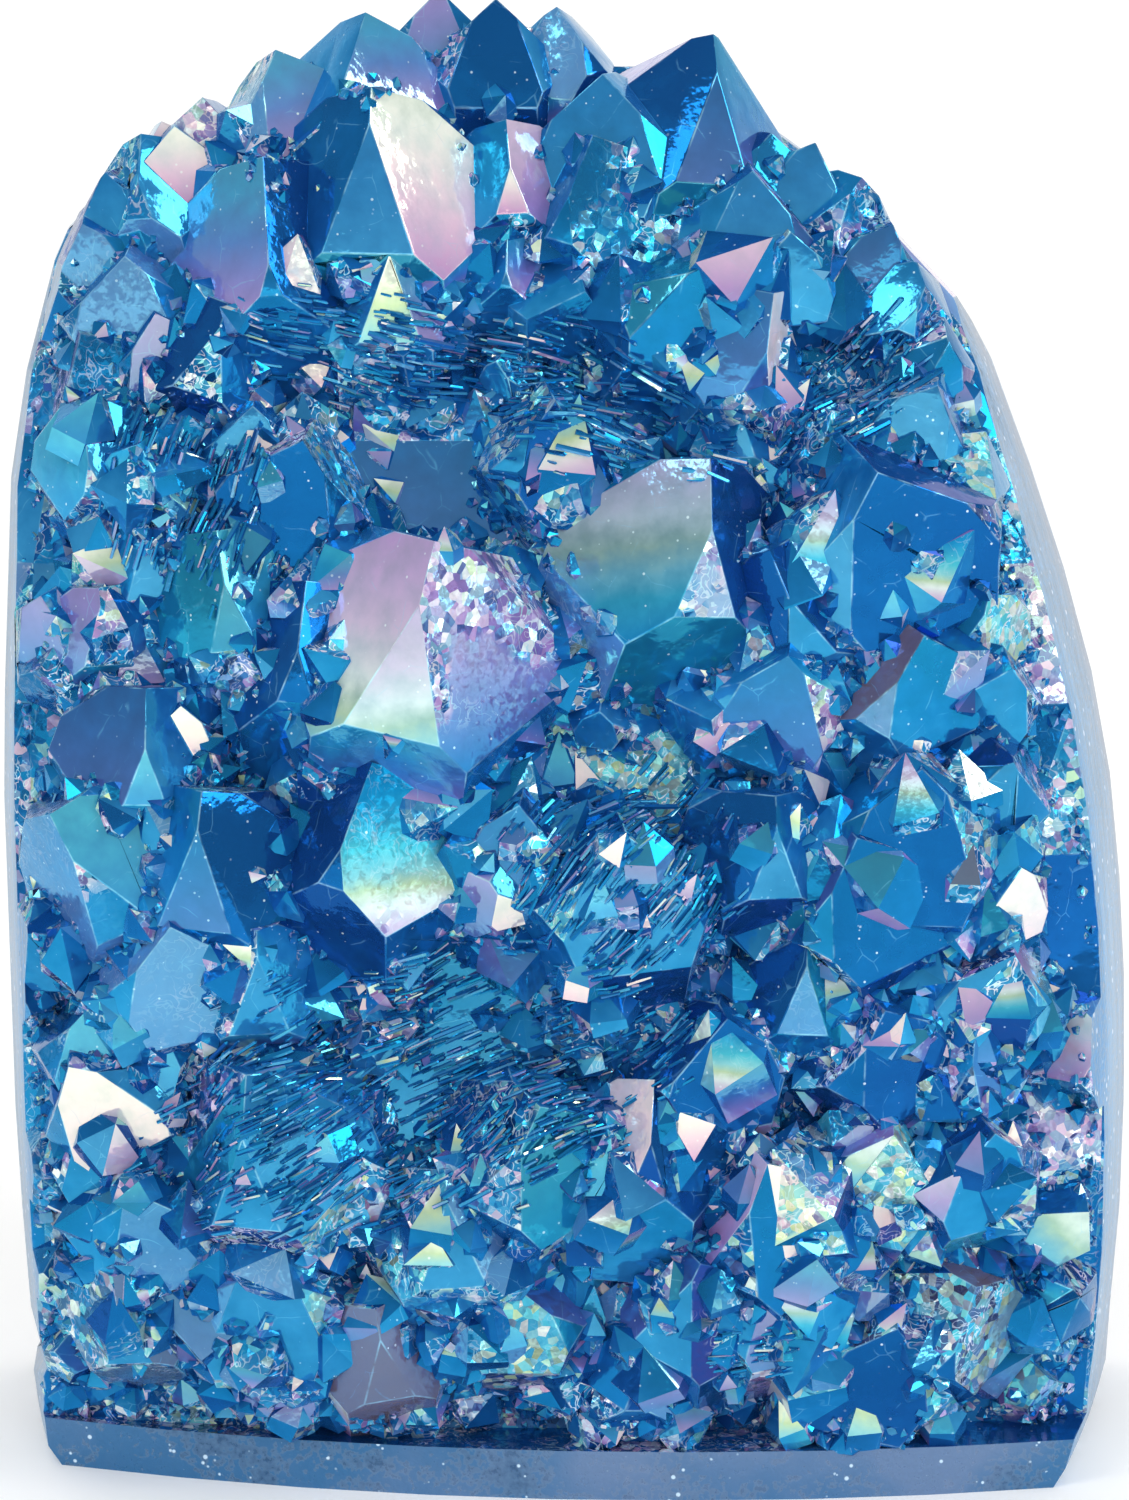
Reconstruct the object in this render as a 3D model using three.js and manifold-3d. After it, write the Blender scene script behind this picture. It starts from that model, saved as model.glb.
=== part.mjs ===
// A cluster of quartz crystals on the wall of rock that they grew from, in millimetres, +Z up.
// The rock is a slice of a geode's wall, sawn flat underneath so that it stands, with its two sides
// ground smooth, its natural skin at the back (+Y) and a crust of crystal points in front (-Y).
// It grew as one piece, so it is one solid. The origin is the middle of the box round it, at the base.
import * as THREE from "three";
import { ConvexGeometry } from "three/addons/geometries/ConvexGeometry.js";
import { mergeVertices } from "three/addons/utils/BufferGeometryUtils.js";
import Module from "manifold-3d";

const wasm = await Module();
wasm.setup();

// ---- Driving dimensions ---------------------------------------------------------------------

// The rock's wall by height: half widths to the left and right of the middle, front and back.
// The sides here stand past the ground faces, which cut them; towards the top they close in an arch.
const ROCK = [
  { z: -1.0, left: 39.0, right: 40.0, front: -7.5, back: 17.0 },
  { z: 14.0, left: 39.0, right: 40.5, front: -11.0, back: 18.0 },
  { z: 30.0, left: 39.0, right: 40.5, front: -12.2, back: 18.4 },
  { z: 46.0, left: 39.0, right: 38.5, front: -11.0, back: 17.4 },
  { z: 58.0, left: 38.0, right: 34.5, front: -8.5, back: 15.4 },
  { z: 66.0, left: 35.0, right: 28.0, front: -6.5, back: 13.2 },
  { z: 72.0, left: 31.5, right: 22.5, front: -4.6, back: 11.2 },
  { z: 77.0, left: 27.0, right: 17.4, front: -2.6, back: 9.4 },
  { z: 81.0, left: 21.0, right: 12.0, front: -0.4, back: 7.4 },
  { z: 84.0, left: 14.5, right: 7.5, front: 2.0, back: 5.4 },
];
// The two ground sides by height: how far out each one stands where the slice is widest.
const GROUND = [
  { z: 0.0, left: 32.4, right: 33.6 },
  { z: 1.2, left: 33.2, right: 34.3 },
  { z: 3.0, left: 33.4, right: 34.8 },
  { z: 10.0, left: 33.7, right: 35.5 },
  { z: 18.0, left: 34.2, right: 35.9 },
  { z: 30.0, left: 34.4, right: 35.6 },
  { z: 42.0, left: 34.5, right: 34.3 },
  { z: 51.0, left: 34.1, right: 32.1 },
  { z: 61.0, left: 33.5, right: 28.7 },
  { z: 70.0, left: 31.6, right: 25.0 },
  { z: 76.0, left: 29.4, right: 21.4 },
  { z: 81.0, left: 26.6, right: 18.4 },
  { z: 86.0, left: 22.2, right: 14.3 },
  { z: 92.0, left: 17.2, right: 11.3 },
];
const SECTION_POWER = 3; // the rock's section is a superellipse of this power, a rounded oblong
const WIDEST_Y = 5; // the ground sides are widest here and draw in towards the front and the back
// How much they draw in towards the front over a length of y, and how much at the back of the cut.
const FLARE = { left: 2.9, right: 3.7, over: 15, power: 1.15 };
const BACK_DRAW = 2.2;
const CUT = { front: -30, back: 30 }; // the cut runs from past the longest crystal to past the skin
// The ground lip in front, under the crystals: its height, its middle, how far its ends fall back,
// how much further the left one does than the middle of the two and the right one less, and how far
// up the grinding goes on, sloping out past the longest crystal.
const LIP = { height: 3.0, front: -12.6, bow: 4.0, turn: 2.0, slope: 5.0 };
// The lumps on the natural skin: waves along x and z, in radians for each mm, and their heights.
const SKIN_WAVES = [
  { x: 0.33, z: 0.21, phase: 0, height: 0.55 },
  { x: 0.17, z: -0.41, phase: 1.3, height: 0.45 },
];
const AROUND = 32; // points round the rock's section
const LEVELS = 13; // sections up the rock and up its ground sides
const SIDE_STOPS = 9; // points along each ground side and along the lip

// Quartz: the pointed faces' normals lean this far from the crystal's long axis.
const POINT_ANGLE = THREE.MathUtils.degToRad(51.8);
// Sizes of a crystal in its own half widths: how far its tip stands out of the rock, how deep it is
// sunk in it, how far its three lesser pointed faces can be set out, and how uneven all six are.
const STANDING = 1.35;
const ROOTED = 1.1;
const SET_OUT = 0.7;
const UNEVEN = 0.16;

// The large crystals, each by the place of its tip seen from the front: x and z, the half width of
// the crystal, how far it leans to the right and up for each millimetre that it stands out, the turn
// of its faces in degrees, and how far three of its six pointed faces outgrow the rest, from 0 to 1.
const LARGE = [
  // along the crest
  [-16.3, 84.7, 4.6, -0.3, 1.97, 60, 0.3],
  [-10.9, 86.3, 5.5, 0.1, 2.25, 75, 0.3],
  [-7.3, 88.0, 3.4, 0, 2.25, 35, 0.2],
  [-3.6, 87.4, 4.2, 0, 1.97, 30, 0.3],
  [0.1, 87.1, 3.6, 0, 2.39, 10, 0.3],
  [9.1, 85.3, 5.6, 0.5, 1.9, -16, 0.16],
  [2.8, 83.1, 4.8, -0.25, 1.55, 15, 0.3],
  [12.6, 79.9, 3.0, 0.4, 1.55, 50, 0.3],
  [15.0, 79.3, 3.0, 0.5, 1.55, 15, 0.3],
  [17.7, 77.4, 3.0, 0.6, 1.27, 60, 0.3],
  [19.5, 75.0, 2.8, 0.6, 1.13, 20, 0.3],
  [21.4, 72.3, 3.0, 0.6, 0.99, 80, 0.3],
  [23.1, 69.0, 2.8, 0.6, 0.85, 40, 0.2],
  // the second row
  [-10.1, 82.3, 6.6, 0, 1.41, 88, 0.3],
  [-16.8, 78.4, 6.1, -0.1, 1.27, 92, 0.3],
  [-14.1, 78.6, 3.4, 0.1, 1.27, 90, 0.3],
  [-2.7, 80.6, 4.0, 0, 1.41, 95, 0.3],
  [-9.9, 74.9, 4.8, 0, 1.27, 90, 0.3],
  [-6.4, 74.5, 2.8, 0, 1.41, 90, 0.3],
  [-2.9, 75.0, 3.0, 0, 1.41, 88, 0.3],
  [2.3, 79.5, 4.6, -0.2, 1.27, 60, 0.3],
  [9.5, 73.4, 5.0, 0.5, 0.85, 20, 0.3],
  [12.1, 71.0, 4.5, 0.6, 0.71, 100, 0.3],
  [11.4, 77.9, 4.3, 0.2, 1.13, 30, 0.3],
  [13.3, 74.6, 3.6, 0.2, 0.99, 45, 0.3],
  // the left shoulder
  [-20.5, 82.1, 4.0, -0.2, 1.97, 20, 0.3],
  [-24.2, 79.9, 4.0, -0.4, 1.69, 80, 0.3],
  [-26.3, 77.6, 3.6, -0.5, 1.41, 15, 0.3],
  [-23.1, 80.7, 3.3, -0.3, 1.69, 50, 0.3],
  [-22.1, 79.9, 4.0, 0, 1.27, 40, 0.3],
  [-25.0, 73.2, 4.3, -0.1, 0.99, 30, 0.3],
  [-28.3, 75.1, 3.3, -0.6, 0.99, 30, 0.3],
  [-29.3, 71.8, 2.6, -0.6, 0.85, 0, 0.3],
  [-23.4, 69.9, 3.3, 0, 0.85, 50, 0.3],
  [-19.0, 70.6, 4.0, 0.3, 0.85, 75, 0.3],
  [-27.3, 68.5, 3.4, -0.4, 0.85, 60, 0.3],
  // the left side
  [-27.3, 64.9, 4.1, -0.3, 0.99, 90, 0.3],
  [-23.8, 62.6, 4.0, -0.1, 0.57, 0, 0.3],
  [-21.5, 62.1, 3.4, 0.1, 0.85, 60, 0.3],
  [-17.7, 64.6, 3.2, 0, 0.99, 30, 0.3],
  [-14.8, 62.8, 4.6, 0.2, 0.85, 15, 0.3],
  [-26.4, 54.6, 3.4, 0, 0.85, 95, 0.3],
  [-29.9, 53.8, 2.8, -0.3, 0.85, 0, 0.3],
  [-24.0, 58.4, 3.4, 0.1, 0.85, 100, 0.3],
  [-19.5, 57.8, 4.9, -0.1, 0.99, 97, 0.3],
  [-13.1, 56.5, 3.4, 0.1, 0.71, 30, 0.3],
  [-17.7, 51.5, 3.7, 0, 0.43, 10, 0.2],
  [-14.7, 55.2, 5.4, -0.1, 1.27, 80, 0.3],
  [-7.0, 57.3, 7.9, 0.15, 0.99, 78, 0.3],
  [-5.6, 51.2, 4.6, 0.1, 0.99, 95, 0.3],
  [-23.4, 48.7, 5.0, 0.1, 0.99, 92, 0.3],
  [-21.6, 47.7, 3.6, 0.2, 0.85, 40, 0.3],
  [-28.5, 41.8, 5.7, -0.6, 0.57, 105, 0.3],
  [-20.3, 43.2, 5.7, -0.1, 0.99, 80, 0.3],
  [-10.5, 45.0, 5.8, 0.05, 1.27, 68, 0.3],
  [-22.0, 35.7, 5.0, 0, 0.71, 45, 0.3],
  [-17.0, 35.0, 4.3, 0.1, 0.71, 95, 0.3],
  [-25.9, 31.5, 4.8, -0.1, 0.99, 30, 0.3],
  [-28.1, 27.2, 4.6, -0.5, 0.57, 50, 0.3],
  [-24.8, 28.1, 4.0, 0.1, 0.85, 75, 0.3],
  [-26.2, 23.5, 4.1, -0.1, 0.71, 30, 0.3],
  [-18.3, 26.6, 6.3, -0.2, 0.85, 80, 0.3],
  // the middle
  [0.3, 65.1, 4.5, 0, 0.85, 45, 0.3],
  [1.7, 61.8, 3.0, 0, 0.57, 30, 0.3],
  [5.3, 60.9, 3.6, -0.1, 0.85, 60, 0.3],
  [8.0, 61.6, 6.5, 0.35, 1.13, 100, 0.3],
  [-2.4, 42.2, 4.0, 0.1, 0.85, 20, 0.3],
  [4.0, 41.1, 5.6, 0.1, 0.85, 40, 0.3],
  [1.0, 36.1, 3.6, 2.4, -0.9, 100, 0.1],
  [5.6, 26.0, 4.9, 0.1, 1.41, 88, 0.3],
  [9.4, 29.9, 4.3, 0.1, 0.85, 45, 0.3],
  [-1.0, 24.9, 5.3, 0.1, 0.71, 65, 0.3],
  [2.9, 23.2, 4.0, 0.2, 0.71, 100, 0.3],
  [-6.7, 20.8, 5.0, -0.1, 1.13, 92, 0.3],
  [-13.2, 23.0, 4.0, 0, 0.85, 30, 0.3],
  // the right side
  [10.5, 65.5, 2.8, 0, 0.85, 90, 0.3],
  [12.8, 66.2, 2.8, 0.1, 0.85, 30, 0.3],
  [15.5, 64.7, 3.3, 0.1, 0.85, 75, 0.3],
  [21.6, 65.5, 3.6, 0.4, 0.85, 10, 0.3],
  [18.1, 61.7, 6.9, -0.1, 0.71, 55, 0.3],
  [15.1, 60.1, 3.2, -0.1, 1.13, 95, 0.3],
  [12.4, 56.8, 5.0, -0.2, 0.71, 110, 0.3],
  [13.0, 50.8, 4.3, 0, 0.57, 20, 0.3],
  [24.5, 54.2, 3.6, 0.3, 0.71, 85, 0.3],
  [26.0, 50.2, 3.4, 0.4, 0.57, 30, 0.3],
  [20.5, 52.1, 4.6, 0.2, 0.85, 60, 0.3],
  [25.8, 44.5, 3.6, 0.3, 0.57, 15, 0.2],
  [20.5, 44.2, 5.6, 0.1, 0.99, 30, 0.3],
  [17.0, 40.3, 5.1, -0.2, 0.85, 55, 0.3],
  [12.2, 43.1, 4.5, 0.1, 0.85, 95, 0.3],
  [26.4, 38.4, 3.2, 0.4, 0.71, 60, 0.3],
  [21.9, 39.9, 3.4, 0.1, 0.57, 0, 0.3],
  [14.4, 34.0, 3.6, 0.1, 1.13, 90, 0.3],
  [22.4, 33.2, 3.2, 0, 0.71, 40, 0.3],
  [26.0, 33.6, 4.1, 0.3, 0.85, 20, 0.3],
  [18.9, 30.8, 4.5, 0, 0.71, 60, 0.3],
  [23.9, 29.1, 3.6, 0.2, 0.71, 90, 0.3],
  [12.0, 21.3, 5.5, -0.2, 0.85, 60, 0.3],
  [15.8, 22.0, 4.6, 0.2, 0.85, 100, 0.3],
  [19.3, 22.7, 4.3, 0.2, 0.71, 20, 0.3],
  [24.9, 23.5, 4.6, 0.3, 0.71, 50, 0.3],
  [17.4, 19.6, 3.6, 0, 0.71, 80, 0.3],
  // along the foot
  [-24.3, 20.1, 5.0, -0.1, 0.57, 40, 0.3],
  [-26.1, 14.5, 4.6, -0.2, 0.57, 90, 0.3],
  [-17.3, 15.3, 5.1, 0, 0.71, 30, 0.3],
  [-17.2, 12.1, 4.3, 0, 0.43, 60, 0.3],
  [-20.7, 9.9, 4.3, -0.1, -0.5, 90, 0.3],
  [-15.9, 8.9, 3.4, 0.1, 0.43, 15, 0.3],
  [-5.6, 14.3, 3.6, 0, 0.71, 75, 0.3],
  [-2.2, 13.9, 4.0, 0, 0.71, 30, 0.3],
  [-10.6, 12.6, 4.6, 0, 0.71, 100, 0.3],
  [4.6, 10.5, 3.8, 0, 0.99, 90, 0.3],
  [13.3, 16.0, 4.9, 0.1, 0.71, 45, 0.3],
  [13.3, 9.8, 4.0, 0, -0.4, 30, 0.3],
  [19.4, 10.9, 4.8, 0.2, 0.71, 20, 0.3],
  [8.3, 14.9, 4.6, 0, 0.85, 60, 0.3],
  [16.9, 8.4, 3.4, 0.1, 0.43, 60, 0.3],
  [24.4, 13.5, 4.6, 0.3, 0.57, 80, 0.3],
];

// The small crystals fill what the large ones leave, the widest first. Half widths in mm.
const SMALL = { widest: 3.4, least: 1.5, step: 0.92, tries: 27 };
const CROWDING = 0.66; // two crystals stand at least this share of their half widths apart
const PAST_EDGE = 1; // the outermost stand this far past the ground sides' front edges, and are cut
const LOWEST = 6;
const HIGHEST = 84;
const SMALL_LEAN = 0.5; // the most that one leans at random, in mm for each mm that it stands out
const SMALL_RISE = 0.3; // and how far all of them lean up
const FAN = 90; // they fan out to the sides as if from this far behind the face
const CREST = { from: 70, over: 14 }; // above this height they lean up further, over this many mm
const SEED = 71;

const NEAR = 1e-4; // corners closer than this, in mm, are one corner

// ---- Helpers -------------------------------------------------------------------------------

// A repeatable run of numbers from 0 to 1.
function randomSource(seed) {
  let state = seed >>> 0;
  return () => {
    state = (Math.imul(state, 1664525) + 1013904223) >>> 0;
    return state / 4294967296;
  };
}

// A closed mesh as a manifold-3d solid.
function solidOf(geometry) {
  const bare = geometry.clone();
  bare.deleteAttribute("normal");
  bare.deleteAttribute("uv");
  const merged = mergeVertices(bare, NEAR);
  return new wasm.Manifold(
    new wasm.Mesh({
      numProp: 3,
      vertProperties: merged.attributes.position.array,
      triVerts: new Uint32Array(merged.index.array),
    }),
  );
}

// A manifold-3d solid as a three.js geometry with flat faces.
function geometryOf(solid) {
  const mesh = solid.getMesh();
  const geometry = new THREE.BufferGeometry();
  geometry.setAttribute("position", new THREE.BufferAttribute(mesh.vertProperties, 3));
  geometry.setIndex(new THREE.BufferAttribute(mesh.triVerts, 1));
  const flat = geometry.toNonIndexed();
  flat.computeVertexNormals();
  return flat;
}

// The values of a table at a height, on a smooth curve through its rows.
function atHeight(rows, z) {
  const last = rows.length - 1;
  let i = 0;
  while (i < last - 1 && z > rows[i + 1].z) i += 1;
  const [a, b, c, d] = [rows[Math.max(i - 1, 0)], rows[i], rows[i + 1], rows[Math.min(i + 2, last)]];
  const t = THREE.MathUtils.clamp((z - b.z) / (c.z - b.z), 0, 1);
  const found = {};
  for (const key of Object.keys(b)) {
    const inSlope = ((c[key] - a[key]) / (c.z - a.z)) * (c.z - b.z);
    const outSlope = ((d[key] - b[key]) / (d.z - b.z)) * (c.z - b.z);
    found[key] =
      (2 * t ** 3 - 3 * t ** 2 + 1) * b[key] +
      (t ** 3 - 2 * t ** 2 + t) * inSlope +
      (3 * t ** 2 - 2 * t ** 3) * c[key] +
      (t ** 3 - t ** 2) * outSlope;
  }
  found.z = z;
  return found;
}

// A closed solid through rings of points, all with the same number of points, from low to high.
function loft(rings) {
  const count = rings[0].length;
  const corners = rings.flat();
  const low = corners.length;
  const middle = (ring) =>
    ring.reduce((sum, p) => sum.add(p), new THREE.Vector3()).divideScalar(ring.length);
  corners.push(middle(rings[0]), middle(rings[rings.length - 1]));
  const faces = [];
  for (let level = 0; level < rings.length - 1; level += 1) {
    for (let j = 0; j < count; j += 1) {
      const a = level * count + j;
      const b = level * count + ((j + 1) % count);
      faces.push(a, b, b + count, a, b + count, a + count);
    }
  }
  const top = (rings.length - 1) * count;
  for (let j = 0; j < count; j += 1) {
    faces.push(low, (j + 1) % count, j, low + 1, top + j, top + ((j + 1) % count));
  }
  const geometry = new THREE.BufferGeometry().setFromPoints(corners);
  geometry.setIndex(faces);
  return geometry;
}

// ---- The rock --------------------------------------------------------------------------------

// y on the rock's front face at x and z, by the superellipse of the section there.
function faceY(x, z) {
  const wall = atHeight(ROCK, z);
  const middleX = (wall.right - wall.left) / 2;
  const halfX = (wall.right + wall.left) / 2;
  const share = Math.min(Math.abs(x - middleX) / halfX, 1);
  const bow = (1 - share ** SECTION_POWER) ** (1 / SECTION_POWER);
  return (wall.front + wall.back) / 2 - ((wall.back - wall.front) / 2) * bow;
}

// The slice of wall before its sides are ground: superellipse sections, lumpy at the back.
function rockGeometry() {
  const bottom = ROCK[0].z;
  const top = ROCK[ROCK.length - 1].z;
  const rings = [];
  for (let level = 0; level <= LEVELS; level += 1) {
    // The sections stand closer together towards the top, where the arch closes fastest.
    const z = THREE.MathUtils.lerp(bottom, top, Math.sin((level / LEVELS) * (Math.PI / 2)));
    const wall = atHeight(ROCK, z);
    const ring = [];
    for (let j = 0; j < AROUND; j += 1) {
      const angle = (j / AROUND) * 2 * Math.PI;
      const [across, backward] = [Math.cos(angle), Math.sin(angle)].map(
        (c) => Math.sign(c) * Math.abs(c) ** (2 / SECTION_POWER),
      );
      const x = (wall.right - wall.left) / 2 + ((wall.right + wall.left) / 2) * across;
      const y = (wall.front + wall.back) / 2 + ((wall.back - wall.front) / 2) * backward;
      const lump = SKIN_WAVES.reduce(
        (sum, wave) => sum + wave.height * Math.sin(wave.x * x + wave.z * z + wave.phase),
        0,
      );
      ring.push(new THREE.Vector3(x, y + lump * Math.max(backward, 0), z));
    }
    rings.push(ring);
  }
  return loft(rings);
}

// The slab at the rock's foot that the lip is ground from, from the middle of the rock forwards.
function footGeometry() {
  const [widest, depth, height] = [ROCK[0].left + ROCK[0].right, -CUT.front, LIP.height - ROCK[0].z];
  const slab = new THREE.BoxGeometry(widest, depth, height);
  return slab.translate(0, -depth / 2, LIP.height - height / 2);
}

// How far out a ground side stands at y, from its half width where it is widest.
function groundSide(halfWidth, flare, y) {
  const forward = Math.max(WIDEST_Y - y, 0) / FLARE.over;
  const backward = Math.max(y - WIDEST_Y, 0) / (CUT.back - WIDEST_Y);
  return halfWidth - flare * forward ** FLARE.power - BACK_DRAW * backward ** 2;
}

// The outline that the saw and the grinder leave at a height. Its front edge stands at front in the
// middle, and falls back by bow + turn at the left end and by bow - turn at the right.
function groundOutline(z, front, bow, turn) {
  const wall = atHeight(GROUND, z);
  const stops = Array.from({ length: SIDE_STOPS }, (_, i) => i / (SIDE_STOPS - 1));
  const edgeY = (stop) => front + bow * (2 * stop - 1) ** 2 - turn * (2 * stop - 1);
  const sideYs = (end) => stops.map((stop) => THREE.MathUtils.lerp(edgeY(end), CUT.back, stop));
  const left = sideYs(0).map((y) => [-groundSide(wall.left, FLARE.left, y), y]);
  const right = sideYs(1).map((y) => [groundSide(wall.right, FLARE.right, y), y]);
  const edge = stops.slice(1, -1).map((stop) => [
    THREE.MathUtils.lerp(left[0][0], right[0][0], stop),
    edgeY(stop),
  ]);
  return [...edge, ...right, ...left.reverse()].map(([x, y]) => new THREE.Vector3(x, y, z));
}

// What the saw and the grinder leave: the flat base, the two sides and the lip under the crystals.
// Above the lip it opens to the front, past the longest crystal.
function groundGeometry() {
  const rings = GROUND.filter((wall) => wall.z <= LIP.height).map((wall) =>
    groundOutline(wall.z, LIP.front, LIP.bow, LIP.turn),
  );
  const open = LIP.height + LIP.slope;
  const top = GROUND[GROUND.length - 1].z;
  for (let level = 0; level <= LEVELS; level += 1) {
    rings.push(groundOutline(THREE.MathUtils.lerp(open, top, level / LEVELS), CUT.front, 0, 0));
  }
  return loft(rings);
}

// ---- The crystals ----------------------------------------------------------------------------

// One quartz crystal with its tip at the origin and its long axis along +Z. It is what lies inside
// six prism faces and six pointed faces, each pointed face set out from the tip by its own amount,
// and the farther out a face is set the less of it is left. The crystal's corners are the points
// where three of those planes meet that no other plane cuts off.
function crystalGeometry(halfWidth, length, set) {
  const planes = [new THREE.Plane(new THREE.Vector3(0, 0, -1), -length)];
  for (let k = 0; k < 6; k += 1) {
    const turn = (k * Math.PI) / 3;
    const out = new THREE.Vector3(Math.cos(turn), Math.sin(turn), 0);
    planes.push(new THREE.Plane(out, -halfWidth));
    const slope = out.clone().multiplyScalar(Math.sin(POINT_ANGLE)).setZ(Math.cos(POINT_ANGLE));
    planes.push(new THREE.Plane(slope, -set[k]));
  }
  const corners = [];
  planes.forEach((a, i) =>
    planes.slice(i + 1).forEach((b, j) =>
      planes.slice(i + j + 2).forEach((c) => {
        const cross = new THREE.Vector3().crossVectors(b.normal, c.normal);
        const spread = a.normal.dot(cross);
        if (Math.abs(spread) < NEAR) return;
        const corner = cross.multiplyScalar(-a.constant);
        corner.addScaledVector(new THREE.Vector3().crossVectors(c.normal, a.normal), -b.constant);
        corner.addScaledVector(new THREE.Vector3().crossVectors(a.normal, b.normal), -c.constant);
        corner.divideScalar(spread);
        if (planes.some((p) => p.distanceToPoint(corner) > NEAR)) return;
        if (corners.some((p) => p.distanceTo(corner) < NEAR)) return;
        corners.push(corner);
      }),
    ),
  );
  return new ConvexGeometry(corners);
}

// A crystal that stands on the rock's face, from the x and z of its tip.
function standingCrystal({ x, z, halfWidth, right, up, turn, set }) {
  const height = STANDING * halfWidth;
  const axis = new THREE.Vector3(right, -1, up).normalize();
  const foot = new THREE.Vector3(x - height * axis.x, 0, z - height * axis.z);
  foot.y = faceY(foot.x, foot.z);
  const tip = foot.clone().addScaledVector(axis, height);
  // u runs to the right across the crystal and v upwards, and the faces are turned from u.
  const u = new THREE.Vector3(1, 0, 0).addScaledVector(axis, -axis.x).normalize();
  const v = new THREE.Vector3().crossVectors(axis, u);
  const placed = new THREE.Matrix4().makeBasis(u, v, axis).setPosition(tip);
  placed.multiply(new THREE.Matrix4().makeRotationZ(THREE.MathUtils.degToRad(turn)));
  return crystalGeometry(halfWidth, height + ROOTED * halfWidth, set).applyMatrix4(placed);
}

// How far each of a crystal's six pointed faces is set out from its tip, in mm.
function facesSet(halfWidth, outgrown, random) {
  return [0, 1, 0, 1, 0, 1].map(
    (lesser) => (lesser * outgrown * SET_OUT + UNEVEN * random()) * halfWidth,
  );
}

function largeCrystals() {
  const random = randomSource(SEED);
  return LARGE.map(([x, z, halfWidth, right, up, turn, outgrown]) => {
    const set = facesSet(halfWidth, outgrown, random);
    return { x, z, halfWidth, right, up, turn, set };
  });
}

// Small crystals, at places tried in turn and kept where they stand clear enough of the others.
function smallCrystals(large) {
  const random = randomSource(SEED);
  const found = [];
  for (let halfWidth = SMALL.widest; halfWidth > SMALL.least; halfWidth *= SMALL.step) {
    for (let n = 0; n < SMALL.tries; n += 1) {
      const z = THREE.MathUtils.lerp(LOWEST, HIGHEST, random());
      const wall = atHeight(ROCK, z);
      const ground = atHeight(GROUND, z);
      const left = Math.min(wall.left, ground.left - FLARE.left + PAST_EDGE);
      const right = Math.min(wall.right, ground.right - FLARE.right + PAST_EDGE);
      const x = THREE.MathUtils.lerp(-left, right, random());
      const crowded = [...large, ...found].some(
        (other) => Math.hypot(other.x - x, other.z - z) < CROWDING * (other.halfWidth + halfWidth),
      );
      const way = random() * 2 * Math.PI;
      const lean = SMALL_LEAN * random();
      const turn = 360 * random();
      const set = facesSet(halfWidth, random(), random);
      if (crowded) continue;
      found.push({
        x,
        z,
        halfWidth,
        right: lean * Math.cos(way) + x / FAN,
        up: lean * Math.sin(way) + SMALL_RISE + Math.max(0, (z - CREST.from) / CREST.over),
        turn,
        set,
      });
    }
  }
  return found;
}

// ---- The cluster -------------------------------------------------------------------------------

const large = largeCrystals();
const small = smallCrystals(large);
const crust = wasm.Manifold.union([...large, ...small].map((c) => solidOf(standingCrystal(c))));
const rough = solidOf(rockGeometry()).add(solidOf(footGeometry())).add(crust);
const ground = rough.intersect(solidOf(groundGeometry()));
// Chinks sealed in between crystals are left out, so the largest body is the whole cluster.
const cluster = ground.decompose().reduce((a, b) => (a.volume() > b.volume() ? a : b));

const geometry = geometryOf(cluster);
geometry.computeBoundingBox();
const box = geometry.boundingBox;
geometry.translate(-(box.min.x + box.max.x) / 2, -(box.min.y + box.max.y) / 2, -box.min.z);

const auraQuartz = new THREE.MeshStandardMaterial({ color: 0x1f6fb8, roughness: 0.18, metalness: 0.35 });
const mesh = new THREE.Mesh(geometry, auraQuartz);
mesh.name = "quartz_cluster";

const part = new THREE.Group();
part.add(mesh);

export default part;
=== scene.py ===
"""A cut-base cluster of aura-coated quartz, in metres, +Z up, its crystal crust facing -Y.

It is a slice of crystal-lined rock, sawn flat underneath and ground smooth at the sides. The quartz
was coated in a vacuum with a film of metal a few hundred nanometres thick, and the film gives it its
blue and the gold, green and pink lights on it.
"""
import math

import bmesh
import bpy
import numpy as np
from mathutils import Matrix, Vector
from mathutils.bvhtree import BVHTree


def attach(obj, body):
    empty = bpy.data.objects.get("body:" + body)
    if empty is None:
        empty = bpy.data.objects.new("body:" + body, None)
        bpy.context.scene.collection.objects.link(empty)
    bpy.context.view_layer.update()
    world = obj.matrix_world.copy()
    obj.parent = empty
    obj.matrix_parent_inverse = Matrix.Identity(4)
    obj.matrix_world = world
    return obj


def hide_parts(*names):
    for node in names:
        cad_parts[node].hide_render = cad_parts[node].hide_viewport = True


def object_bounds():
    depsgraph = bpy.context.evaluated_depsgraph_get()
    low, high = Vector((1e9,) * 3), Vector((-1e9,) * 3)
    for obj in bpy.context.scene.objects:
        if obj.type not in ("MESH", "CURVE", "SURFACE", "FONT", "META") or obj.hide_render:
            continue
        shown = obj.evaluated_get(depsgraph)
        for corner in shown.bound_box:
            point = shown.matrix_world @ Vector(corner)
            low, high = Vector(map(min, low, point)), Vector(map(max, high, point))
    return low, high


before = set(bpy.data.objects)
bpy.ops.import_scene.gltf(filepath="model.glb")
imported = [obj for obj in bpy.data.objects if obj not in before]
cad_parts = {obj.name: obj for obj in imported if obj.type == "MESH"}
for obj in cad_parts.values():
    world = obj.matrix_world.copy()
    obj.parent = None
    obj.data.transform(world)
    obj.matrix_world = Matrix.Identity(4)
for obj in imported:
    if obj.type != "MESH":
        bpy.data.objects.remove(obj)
cad_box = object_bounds()

MM = 0.001

# ---- The stone: its shape ---------------------------------------------------------------------
# The rock and the large crystals on it, which grew as one piece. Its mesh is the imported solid's,
# with the triangles of each flat face joined again and a narrow worn strip round each facet.

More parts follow.
